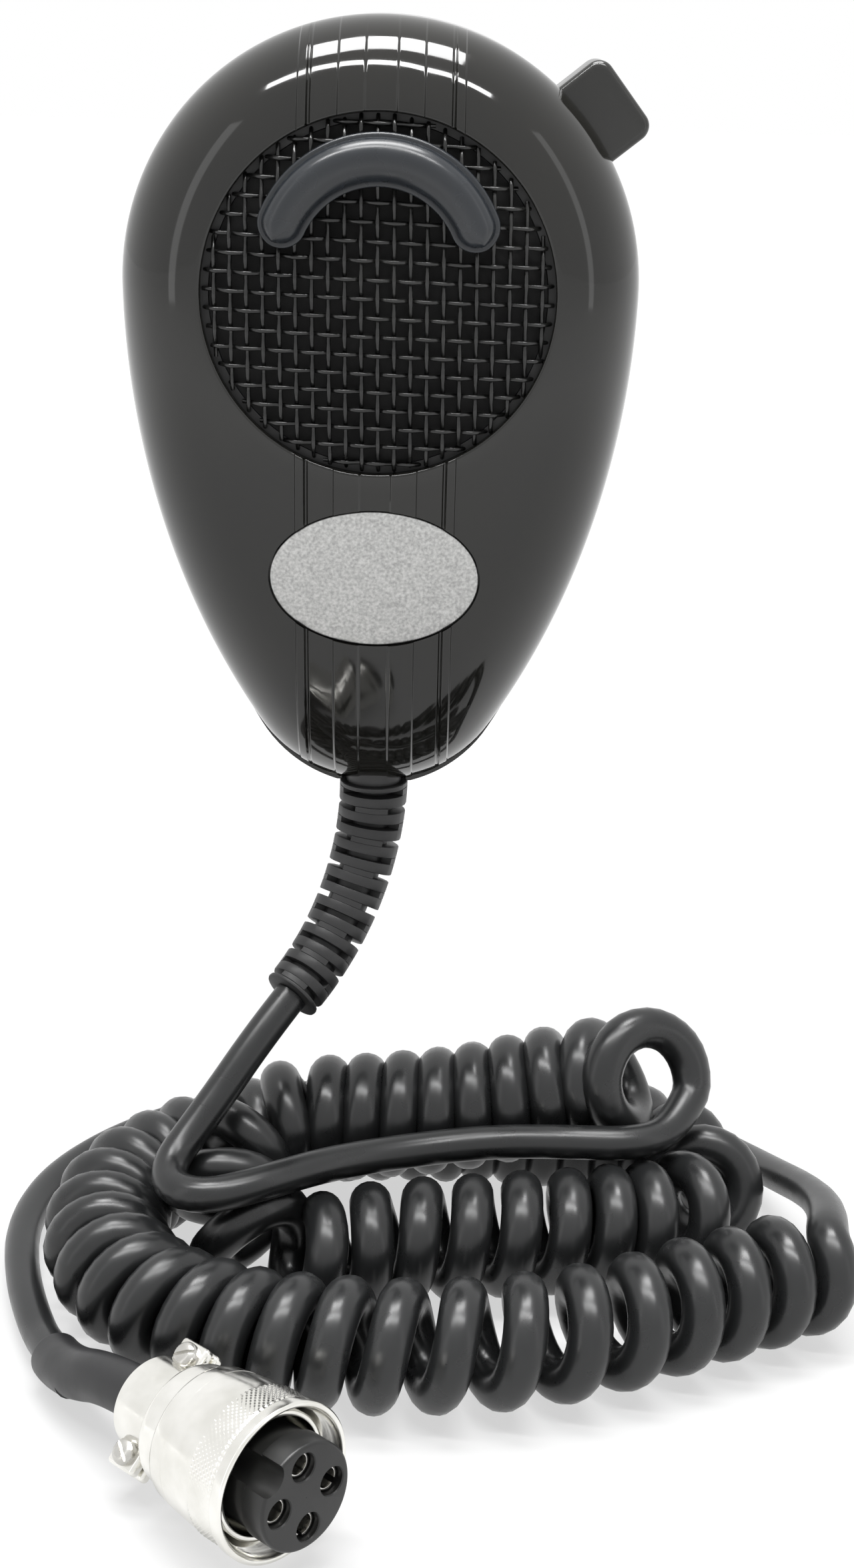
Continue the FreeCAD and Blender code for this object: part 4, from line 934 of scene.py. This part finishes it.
# ---- press-to-talk button
def ptt_cap():
    """Plunger with well rounded outer corners and softer front and back edges."""
    inside, tip, half_up, half_across = 27.4, 37.8, 5.5, 4.7
    corner = 1.9
    outline = [(inside, -half_up)]
    for middle_up, start in ((-half_up + corner, -90), (half_up - corner, 0)):
        for step in range(13):
            turn = math.radians(start + 90 * step / 12)
            outline.append((tip - corner + corner * math.cos(turn),
                            middle_up + corner * math.sin(turn)))
    outline.append((inside, half_up))
    rings = []
    span = tip - corner
    edge = 0.95
    for side in (-1, 1):
        levels = [(edge * (1 - up), half_across - edge * (1 - along)) for up, along in quarter(8)]
        if side < 0:
            levels = [(inset, -across) for inset, across in levels]
        else:
            levels = levels[::-1]
        for inset, across in levels:
            ring = []
            for out, up in outline:
                if out > span:
                    out = span + (out - span) * (corner - inset) / corner
                ring.append(ptt_spot(out, across, up * (half_up - inset) / half_up) * MM)
            rings.append(ring)
    return mesh_object("ptt_cap", *stitched(rings, True))


ptt = shade(ptt_cap(), 50.0)
dress(ptt, "button", "ptt_button", "ptt")


# ---- strain relief
RELIEF_BEND_R = 32.71
RELIEF_BEND = math.radians(57.3)
RELIEF_HEADING = math.radians(226.3)
RELIEF_BASE = Vector((0, -23.9, TIP_FLAT_Z))
RELIEF_LENGTH = RELIEF_BEND_R * RELIEF_BEND
RELIEF_LEAN = Vector((math.cos(RELIEF_HEADING), math.sin(RELIEF_HEADING), 0))
GAP_FIRST, GAP_PITCH, GAP_HALF, GAP_COUNT = 1.2, 2.35, 0.42, 14
SLOT_FLOOR = 2.75
WEB_HALF = math.radians(29.0)


def relief_place(distance):
    """Point and heading on the strain relief's bent middle line."""
    turn = distance / RELIEF_BEND_R
    if distance < 0:
        return RELIEF_BASE - Vector((0, 0, distance)), Vector((0, 0, -1))
    centre = RELIEF_BASE + RELIEF_LEAN * RELIEF_BEND_R
    point = centre - RELIEF_LEAN * (RELIEF_BEND_R * math.cos(turn))
    point.z -= RELIEF_BEND_R * math.sin(turn)
    return point, RELIEF_LEAN * math.sin(turn) - Vector((0, 0, math.cos(turn)))


def relief_levels():
    """Distances along the sleeve, each with its inset from the outside and its gap's number."""
    levels = [(-2.5, 0.8, None), (-0.02, 0.8, None), (0.0, 0.12, None), (0.12, 0.0, None)]
    for number in range(GAP_COUNT):
        middle = GAP_FIRST + GAP_PITCH * number
        low, high = middle - GAP_HALF, middle + GAP_HALF
        levels += [(low - 0.14, 0.0, None), (low - 0.04, 0.04, None), (low, 0.14, None)]
        levels += [(low + 0.012, 0.0, number), (high - 0.012, 0.0, number)]
        levels += [(high, 0.14, None), (high + 0.04, 0.04, None), (high + 0.14, 0.0, None)]
    last = RELIEF_LENGTH
    levels += [(last - 0.14, 0.0, None), (last - 0.03, 0.05, None), (last, 0.16, None),
               (last, 1.55, None)]
    return [level for level in levels if level[0] <= last]


def strain_relief():
    """Rubber sleeve cut by slots that leave webs at its front and back, then at its sides."""
    turns = []
    for quarter in range(4):
        middle = quarter * math.pi / 2
        turns += [middle + WEB_HALF * share for share in (-1.03, -1.0, -0.5, 0.0, 0.5, 1.0, 1.03)]
        rest = math.pi / 2 - 2 * WEB_HALF
        turns += [middle + WEB_HALF + rest * share for share in (0.2, 0.4, 0.6, 0.8)]
    rings = []
    for distance, inset, gap in relief_levels():
        point, axis = relief_place(distance)
        across = Vector((1, 0, 0)) - axis * axis.x
        across.normalize()
        ahead = axis.cross(across)
        share = min(max(distance / RELIEF_LENGTH, 0.0), 1.0)
        outside = 4.6 + (4.0 - 4.6) * share
        ring = []
        for turn in turns:
            radius = outside - inset
            if gap is not None:
                from_web = turn if gap % 2 else turn - math.pi / 2
                off = abs((from_web + math.pi / 2) % math.pi - math.pi / 2)
                if off > WEB_HALF * 1.01:
                    radius = SLOT_FLOOR
            out = ahead * (radius * math.cos(turn)) + across * (radius * math.sin(turn))
            ring.append((point + out) * MM)
        rings.append(ring)
    return mesh_object("strain_relief_sleeve", *stitched(rings, True))


relief = shade(strain_relief(), 38.0)
dress(relief, "relief", "strain_relief")


# ---- hang-up button and case screws
def cross_tool(x, z, face_y, radius, depth):
    """Cross-shaped driver recess for a screw head that faces the back."""
    arm, half = radius * 0.62, radius * 0.13
    cross = box_tool((2 * arm, 2 * depth, 2 * half), (x, face_y, z))
    return boolean(cross, box_tool((2 * half, 2 * depth, 2 * arm), (x, face_y, z)), "UNION")


def pan_head(name, x, z, seat, radius, thick, shank, reach):
    """Pan-head screw that faces the back, with a domed head."""
    profile = [(seat - reach, shank), (seat - 0.01, shank), (seat - 0.01, radius),
               (seat + thick * 0.35, radius)]
    profile += [(seat + thick * (0.35 + 0.65 * up), radius * (0.45 + 0.55 * out))
                for up, out in quarter(8, 1)]
    screw = spun(name, profile, (x, 0, z), segments=48)
    boolean(screw, cross_tool(x, z, seat + thick, radius, thick * 0.6))
    return shade(screw, 30.0)


for number, (x, z) in enumerate(SCREW_SPOTS):
    screw = pan_head(f"case_screw_{number}", x, z, -11.6, 2.7, 1.7, 1.4, 17.0)
    dress(screw, "screw", "case_screws")

head_profile = [(-1.5, 1.7), (-1.5, 6.5)]
head_profile += [(-1.0 - 0.5 * along, 6.5 + 0.5 * out) for out, along in quarter(8, 1)]
head_profile += [(1.0 + 0.5 * along, 6.5 + 0.5 * out) for along, out in quarter(8)]
head_profile += [(1.5, 3.15), (1.4, 3.0), (0.2, 3.0), (0.2, 1.7), (-1.5, 1.7)]
button_head = shade(spun("hang_up_head", head_profile, segments=120), 40.0)
dress(button_head, "nickel", "button_head")

neck_profile = [(-6.9, 1.6), (-6.9, 4.25), (-1.5, 4.25), (-1.5, 1.6), (-6.9, 1.6)]
button_neck = shade(spun("hang_up_neck", neck_profile, segments=96), 40.0)
dress(button_neck, "nickel", "button_neck")

button_screw = pan_head("hang_up_screw", 0, 0, 0.2, 2.7, 1.2, 1.5, 15.1)
dress(button_screw, "screw", "button_screw")


# ---- plug
PLUG_FRAME = Matrix.Translation(Vector((-25.4, -85.4, -120.9)) * MM)
PLUG_FRAME = PLUG_FRAME @ Matrix.Rotation(math.radians(-44.5), 4, "Z")
PLUG_FRAME = PLUG_FRAME @ Matrix.Rotation(math.radians(-2.3), 4, "Y")
CLAMP_BACK, CLAMP_FRONT = 2.8, 9.0
CLAMP_TILT = Matrix.Rotation(math.radians(42.0), 4, "X")
SLEEVE_R = 3.2
KNURL_COUNT = 84


def in_plug(thing, turn=None):
    """Carry a piece made on the plug's own axes to where the plug lies."""
    thing.data.transform(PLUG_FRAME @ turn if turn else PLUG_FRAME)
    return thing


def turned_piece(name, profile, segments, lift=None):
    """Turned form on the plug's axis; lift gives an extra radius at (along, angle)."""
    rings = []
    for along, radius in profile[:-1]:
        ring = []
        for angle in full_turn(segments):
            out = radius + (lift(along, angle, radius) if lift else 0.0)
            ring.append(Vector((along, out * math.cos(angle), out * math.sin(angle))) * MM)
        rings.append(ring)
    return mesh_object(name, *looped(rings))


def knurl(along, angle, radius):
    """Diamond points of the knurled band behind the nut's rim."""
    if not 20.7 < along < 24.3 or radius < 9.0:
        return 0.0
    return 0.055 * math.cos(KNURL_COUNT * angle) * math.cos((along - 22.5) * 2 * math.pi / 0.7)


def coupling_nut():
    """Nut with a polished thick rim, a knurled band, a tapering barrel and a threaded bore."""
    profile = [(12.9, 7.7), (12.9, 8.0), (13.0, 8.2), (13.3, 8.32), (14.6, 8.5), (17.0, 8.8),
               (19.8, 9.05), (20.4, 9.08), (20.6, 9.12)]
    profile += [(20.75 + 0.175 * step, 9.18) for step in range(21)]
    profile += [(24.45, 9.05), (24.6, 9.04), (24.7, 9.14)]
    profile += [(25.0 - 0.3 * along, 9.16 + 0.32 * out) for out, along in quarter(8)]
    for step in range(13):
        turn = math.pi * step / 12
        profile.append((26.05 + 0.35 * math.sin(turn), 9.13 + 0.35 * math.cos(turn)))
    for step in range(18):
        profile += [(25.6 - 0.6 * step, 8.62), (25.3 - 0.6 * step, 8.3)]
    profile += [(14.9, 8.1), (14.9, 7.7), (12.9, 7.7)]
    nut = turned_piece("plug_nut", profile, KNURL_COUNT * 6, knurl)
    return shade(in_plug(nut), 42.0)


def shell_form():
    """Tapering body of the plug whose bright front edge shows inside the nut."""
    profile = [(CLAMP_FRONT + 0.05, 4.2), (CLAMP_FRONT + 0.05, 5.9)]
    profile += [(CLAMP_FRONT + 1.55 - 1.4 * along, 6.0 + 1.45 * out) for out, along in quarter(10)]
    profile += [(12.6, 7.58), (13.2, 7.6), (24.2, 7.6), (24.34, 7.54), (24.4, 7.42), (24.4, 7.12),
                (24.32, 7.0), (12.0, 7.0), (11.0, 4.2), (CLAMP_FRONT + 0.05, 4.2)]
    return turned_piece("plug_body", profile, 144)


def clamp_part(name, side):
    """One half of the cable clamp, with a rounded ear each side."""
    bore, outside = SLEEVE_R + 0.05, 5.6
    profile = [(CLAMP_BACK, bore)]
    profile += [(CLAMP_BACK + 0.5 - 0.5 * along, outside - 0.5 + 0.5 * out)
                for out, along in quarter(6)]
    profile += [(CLAMP_FRONT, outside), (CLAMP_FRONT, bore), (CLAMP_BACK, bore)]
    half = turned_piece(name, profile, 96)
    middle = (CLAMP_BACK + CLAMP_FRONT) / 2
    boolean(half, box_tool((20, 20, 12), (middle, 0, side * -5.8)))
    for hand in (-1, 1):
        ear = box_tool((4.6, 4.9, 1.5), (middle - 0.2, hand * 5.75, side * 1.0), None, 0.55)
        boolean(half, ear, "UNION")
    return shade(half, 35.0)


def clamp_screw(name, hand):
    """Pan-head screw through a pair of ears, with a slotted head."""
    seat = 1.76
    profile = [(-2.4, 0.8), (seat, 0.8), (seat, 1.6), (seat + 0.45, 1.6)]
    profile += [(seat + 0.45 + 0.75 * up, 1.6 * (0.35 + 0.65 * out)) for up, out in quarter(7, 1)]
    spot = ((CLAMP_BACK + CLAMP_FRONT) / 2 - 0.2, hand * 6.3, 0)
    screw = spun(name, profile, spot, (0, 0, 1), 40)
    slot_turn = Matrix.Rotation(hand * 0.6, 4, "Z")
    slot = box_tool((4.0, 0.42, 0.9), (spot[0], spot[1], seat + 1.2), slot_turn)
    boolean(screw, slot)
    return shade(in_plug(screw, CLAMP_TILT), 30.0)


SOCKET_REACH = 3.85
INSERT_ROLL = Matrix.Rotation(math.radians(48.0), 4, "X")


def socket_spots():
    """Centres of the four sockets, square to the keyway."""
    turns = [math.pi / 4 + number * math.pi / 2 for number in range(4)]
    return [(SOCKET_REACH * math.cos(turn), SOCKET_REACH * math.sin(turn)) for turn in turns]


def insert_form():
    """Black insert: a stepped body with an eased front edge, four sockets and a wide keyway."""
    profile = [(15.0, 0.4), (15.0, 6.0), (26.6, 6.0), (26.6, 6.3), (26.7, 6.4), (29.6, 6.4)]
    profile += [(29.6 + 0.4 * along, 6.0 + 0.4 * out) for along, out in quarter(6, 1)]
    profile += [(30.0, 0.4), (15.0, 0.4)]
    body = turned_piece("plug_insert", profile, 128)
    core = [(14.9, 0.05), (14.9, 0.6), (30.0, 0.6), (30.0, 0.05), (14.9, 0.05)]
    boolean(body, turned_piece("tool", core, 24), "UNION")
    for y, z in socket_spots():
        socket = [(26.2, 1.66), (29.86, 1.66), (30.2, 1.94)]
        boolean(body, spun("tool", socket, (0, y, z), (1, 0, 0), 48))
    way = Vector((0, 0, 6.9))
    boolean(body, spun("tool", [(23.0, 2.05), (31.0, 2.05)], way, (1, 0, 0), 64))
    return shade(in_plug(body, INSERT_ROLL), 35.0)


def contact_tube(name, y, z, gap_at):
    """Split spring tube in its socket, its front edge rounded."""
    outside, bore, half_gap = 1.5, 1.16, math.radians(16)
    profile = [(26.3, bore), (26.3, outside), (28.9, outside), (29.05, outside - 0.06),
               (29.08, (outside + bore) / 2), (29.05, bore + 0.05), (28.9, bore)]
    vertices, faces = [], []
    steps, count = 48, len(profile)
    for step in range(steps + 1):
        turn = gap_at + half_gap + (2 * math.pi - 2 * half_gap) * step / steps
        vertices += [Vector((x, y + r * math.cos(turn), z + r * math.sin(turn))) * MM
                     for x, r in profile]
    for step in range(steps):
        for side in range(count):
            a = step * count + side
            b = step * count + (side + 1) % count
            faces.append((a, b, b + count, a + count))
    faces.append(tuple(range(count))[::-1])
    faces.append(tuple(range(steps * count, (steps + 1) * count)))
    return shade(in_plug(mesh_object(name, vertices, faces), INSERT_ROLL), 35.0)


nut = coupling_nut()
dress(nut, "nickel", "coupling_nut", "nut")

shell = in_plug(shell_form())
saddle = in_plug(clamp_part("plug_saddle", -1), CLAMP_TILT)
for piece in (shade(shell, 35.0), saddle):
    dress(piece, "nickel", "plug_shell")

clamp = in_plug(clamp_part("plug_clamp", 1), CLAMP_TILT)
dress(clamp, "nickel", "cable_clamp")

plug_screws = [clamp_screw(f"plug_screw_{number}", hand) for number, hand in enumerate((-1, 1))]
for screw in plug_screws:
    dress(screw, "screw", "clamp_screws")

insert = insert_form()
dress(insert, "insulator", "plug_insulator")

contacts = [contact_tube(f"plug_contact_{number}", y, z, 0.9 + number * 1.3)
            for number, (y, z) in enumerate(socket_spots())]
for contact in contacts:
    dress(contact, "contact", "plug_contacts")


# ---- cord
CORD = 4.6 * MM
LEAD_UPPER = [
    (-10.4, -34.78, -92.43), (-14.31, -38.87, -96.54), (-19.3, -43.6, -103.0),
    (-22.9, -47.2, -107.2), (-25.0, -49.9, -109.4), (-25.2, -52.9, -110.5),
    (-23.9, -55.6, -110.7), (-21.3, -57.3, -110.5), (-18.2, -57.5, -110.3),
    (-12.4, -54.6, -109.9), (-4.4, -48.2, -110.4), (6.0, -42.6, -111.2),
    (17.5, -39.8, -111.0), (28.0, -40.6, -110.4), (35.4, -40.4, -110.6),
    (40.8, -37.4, -110.9),
]
COIL = [
    (39.4, -33.6, -104.0), (36.8, -30.0, -105.4), (33.0, -28.2, -106.9),
    (28.0, -27.6, -108.2), (20.5, -28.5, -110.1), (11.0, -29.3, -111.9),
    (-0.5, -30.2, -112.6), (-7.0, -30.7, -112.9), (-12.7, -32.2, -113.2),
    (-17.2, -36.5, -114.4), (-18.9, -42.4, -116.3), (-17.5, -48.2, -118.4),
    (-13.5, -52.5, -120.3), (-8.0, -54.5, -121.6), (0.5, -51.2, -120.9),
    (6.75, -50.0, -120.6), (13.0, -49.0, -120.5), (26.0, -46.6, -120.6),
    (36.5, -44.0, -120.9), (44.0, -40.6, -121.2), (47.6, -34.8, -121.7),
    (47.0, -27.6, -121.9), (41.6, -20.6, -121.9), (33.0, -17.0, -121.9),
    (21.0, -15.4, -121.9), (8.0, -15.0, -121.9), (-4.0, -15.9, -121.9),
    (-14.0, -19.0, -121.9), (-22.5, -23.8, -121.9), (-30.0, -31.0, -121.9),
    (-34.4, -40.6, -121.9), (-34.2, -51.0, -121.9), (-30.0, -60.8, -121.9),
    (-22.4, -68.4, -121.9), (-12.0, -72.8, -121.9), (0.5, -74.1, -121.9),
    (13.0, -73.6, -121.9), (24.0, -71.4, -121.9), (34.5, -67.0, -121.9),
    (44.5, -61.4, -121.9), (53.0, -57.2, -121.9), (60.0, -53.0, -121.9),
]
LEAD_LOWER = [
    (62.2, -46.0, -117.0), (61.4, -37.4, -118.9), (58.6, -26.0, -122.6),
    (54.4, -12.6, -126.4), (47.0, -1.6, -127.7), (35.0, 5.2, -127.7),
    (19.0, 7.4, -127.7), (2.0, 6.6, -127.7), (-14.0, 3.6, -127.7),
    (-28.0, -2.6, -127.7), (-38.8, -12.6, -127.7), (-45.6, -24.6, -127.7),
    (-47.4, -37.6, -127.7), (-45.2, -50.4, -127.7), (-41.4, -62.0, -127.6),
    (-37.6, -70.0, -126.4),
]
# along the coil, in mm: how far apart its turns lie where it is straight
COIL_PITCHES = (
    (0, 5.4), (45, 5.2), (85, 5.4), (97, 6.7), (118, 6.7), (135, 5.2), (150, 4.8),
    (250, 4.75), (285, 5.0), (300, 6.2), (314, 8.0), (342, 7.8), (356, 6.9), (372, 6.3),
)
TURN_RADIUS = 5.65
FIRST_TURN_RADIUS = 7.1
BACK_ROW, BACK_ROW_RADIUS = 90.0, 6.05
FIRST_PHASE = -0.62
POINTS_PER_TURN = 20
LEAD_R, STRAND_R = 2.32, 2.8


def nurbs_line(points, per_span):
    """Points of the smooth NURBS line that a list of control points gives."""
    curve = bpy.data.curves.new("route", "CURVE")
    curve.dimensions = "3D"
    spline = curve.splines.new("NURBS")
    spline.points.add(len(points) - 1)
    for slot, point in zip(spline.points, points):
        slot.co = (*point, 1)
    spline.order_u = 3
    spline.use_endpoint_u = True
    spline.resolution_u = per_span
    route = link_object("route", curve)
    mesh = bpy.data.meshes.new_from_object(route)
    line = [vertex.co.copy() for vertex in mesh.vertices]
    bpy.data.objects.remove(route)
    bpy.data.curves.remove(curve)
    bpy.data.meshes.remove(mesh)
    return line


def lengths_of(line):
    """Distance from the start to each point of a line."""
    reached = [0.0]
    for before, after in zip(line, line[1:]):
        reached.append(reached[-1] + (after - before).length)
    return reached


def even(line, step):
    """The same line with its points a step apart."""
    reached = np.array(lengths_of(line))
    count = max(int(round(reached[-1] / step)), 2)
    wanted = np.linspace(0, reached[-1], count + 1)
    places = np.array([tuple(point) for point in line])
    columns = [np.interp(wanted, reached, places[:, axis]) for axis in range(3)]
    return [Vector(point) for point in zip(*columns)]


def bend_of(line, reach):
    """Curvature at each point of an evenly spaced line, over a reach either way."""
    bends = []
    last = len(line) - 1
    for number in range(len(line)):
        before = line[max(number - reach, 0)]
        here = line[number]
        after = line[min(number + reach, last)]
        first, second = here - before, after - here
        if first.length < 1e-9 or second.length < 1e-9:
            bends.append(None)
            continue
        bends.append(first.angle(second) / ((first.length + second.length) / 2))
    bends = [value for value in bends if value is not None]
    lost = len(line) - len(bends)
    return [bends[0]] * (lost // 2) + bends + [bends[-1]] * (lost - lost // 2)


def coil_points():
    """Control points of the curly part: a left-handed helix round the coil's route."""
    axis = even(nurbs_line(COIL, 16), 0.5)
    bends = bend_of(axis, 12)
    marks = [mark for mark, _ in COIL_PITCHES]
    pitches = [pitch for _, pitch in COIL_PITCHES]
    phases = [0.0]
    for number in range(1, len(axis)):
        step = (axis[number] - axis[number - 1]).length
        pitch = float(np.interp(number * 0.5, marks, pitches))
        room = 1 - TURN_RADIUS * bends[number]
        pitch = max(pitch, 1.01 * CORD / MM / max(room, 0.3))
        phases.append(phases[-1] + 2 * math.pi * step / pitch)
    last = math.pi / 2 - FIRST_PHASE
    whole = round((phases[-1] - last) / (2 * math.pi))
    phases = np.array(phases) * ((2 * math.pi * whole + last) / phases[-1])
    wanted = np.arange(0, phases[-1], 2 * math.pi / POINTS_PER_TURN)
    spots = np.interp(wanted, phases, np.arange(len(axis)))
    up = Vector((0, 0, 1))
    points = []
    for phase, spot in zip(wanted, spots):
        low = min(int(spot), len(axis) - 2)
        share = spot - low
        centre = axis[low].lerp(axis[low + 1], share)
        centre.z = max(centre.z, FLOOR_Z / MM + STRAND_R + TURN_RADIUS + 0.2)
        tangent = (axis[min(low + 2, len(axis) - 1)] - axis[max(low - 1, 0)]).normalized()
        side = tangent.cross(up).normalized()
        above = side.cross(tangent)
        early = max(0.0, 1 - phase / (2 * math.pi))
        wander = 0.16 * noise.noise(Vector((phase * 0.35, 3.1, 7.7)))
        back = min(max((BACK_ROW - spot * 0.5) / 20, 0.0), 1.0)
        steady = TURN_RADIUS + (BACK_ROW_RADIUS - TURN_RADIUS) * back
        radius = steady + (FIRST_TURN_RADIUS - steady) * early**0.7 + wander
        angle = phase + FIRST_PHASE
        out = side * (radius * math.cos(angle)) + above * (radius * math.sin(angle))
        points.append(centre + out)
    return points


def make_cord():
    """The whole cord, from the strain relief through every turn of the coil to the plug."""
    points = [Vector(p) for p in LEAD_UPPER] + coil_points() + [Vector(p) for p in LEAD_LOWER]
    tail = points[-1] + (points[-1] - points[-2]).normalized() * 8.0
    points.append(tail)
    line = nurbs_line([point * MM for point in points], 6)
    line = even(line, 1.5 * MM)
    for point in line:
        point.z = max(point.z, FLOOR_Z + STRAND_R * MM)
    total = lengths_of(line)[-1]
    first = lengths_of(nurbs_line([Vector(p) for p in LEAD_UPPER], 6))[-1] * MM
    last = lengths_of(nurbs_line([Vector(p) for p in LEAD_LOWER], 6))[-1] * MM

    def radius_at(share):
        inside = min(share * total - first, (1 - share) * total - last) / (14 * MM)
        return (LEAD_R + (STRAND_R - LEAD_R) * min(max(inside, 0.0), 1.0)) * MM

    cord = tube("curly_cord", line, radius_at, 20)
    dress(cord, "cord")
    return cord, line


cord, cord_line = make_cord()

SLEEVE = [(-37.6, -70.0, -126.4), (-35.26, -74.92, -125.66), (-28.25, -82.60, -121.06),
          (-20.27, -90.44, -120.61)]


def sleeve_radius(share):
    """Shrink sleeve: an eased lip, a plain run and a slight swell over the cord's end."""
    if share < 0.02:
        return (2.75 + 22 * share) * MM
    return (3.19 + 0.05 * math.sin(share * 9.0)) * MM


sleeve_line = even(nurbs_line([Vector(point) * MM for point in SLEEVE], 24), 0.35 * MM)
sleeve = tube("sleeve_shrunk", sleeve_line, sleeve_radius, 40)
dress(sleeve, "sleeve", "cord_sleeve")

NODE_LOOKS = {
    "moving_leaf": "leaf", "fixed_leaf": "leaf", "switch_stack": "laminate",
    "mesh_ring": "ring", "wind_screen": "cloth", "mic_cartridge": "cartridge",
    "cartridge_gasket": "gasket",
}
for node, look in NODE_LOOKS.items():
    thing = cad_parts[node]
    thing.data.materials.clear()
    thing.data.materials.append(LOOKS[look])

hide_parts("cord_lead_upper", "cord_coil_inner", "cord_coil_outer", "cord_lead_lower")
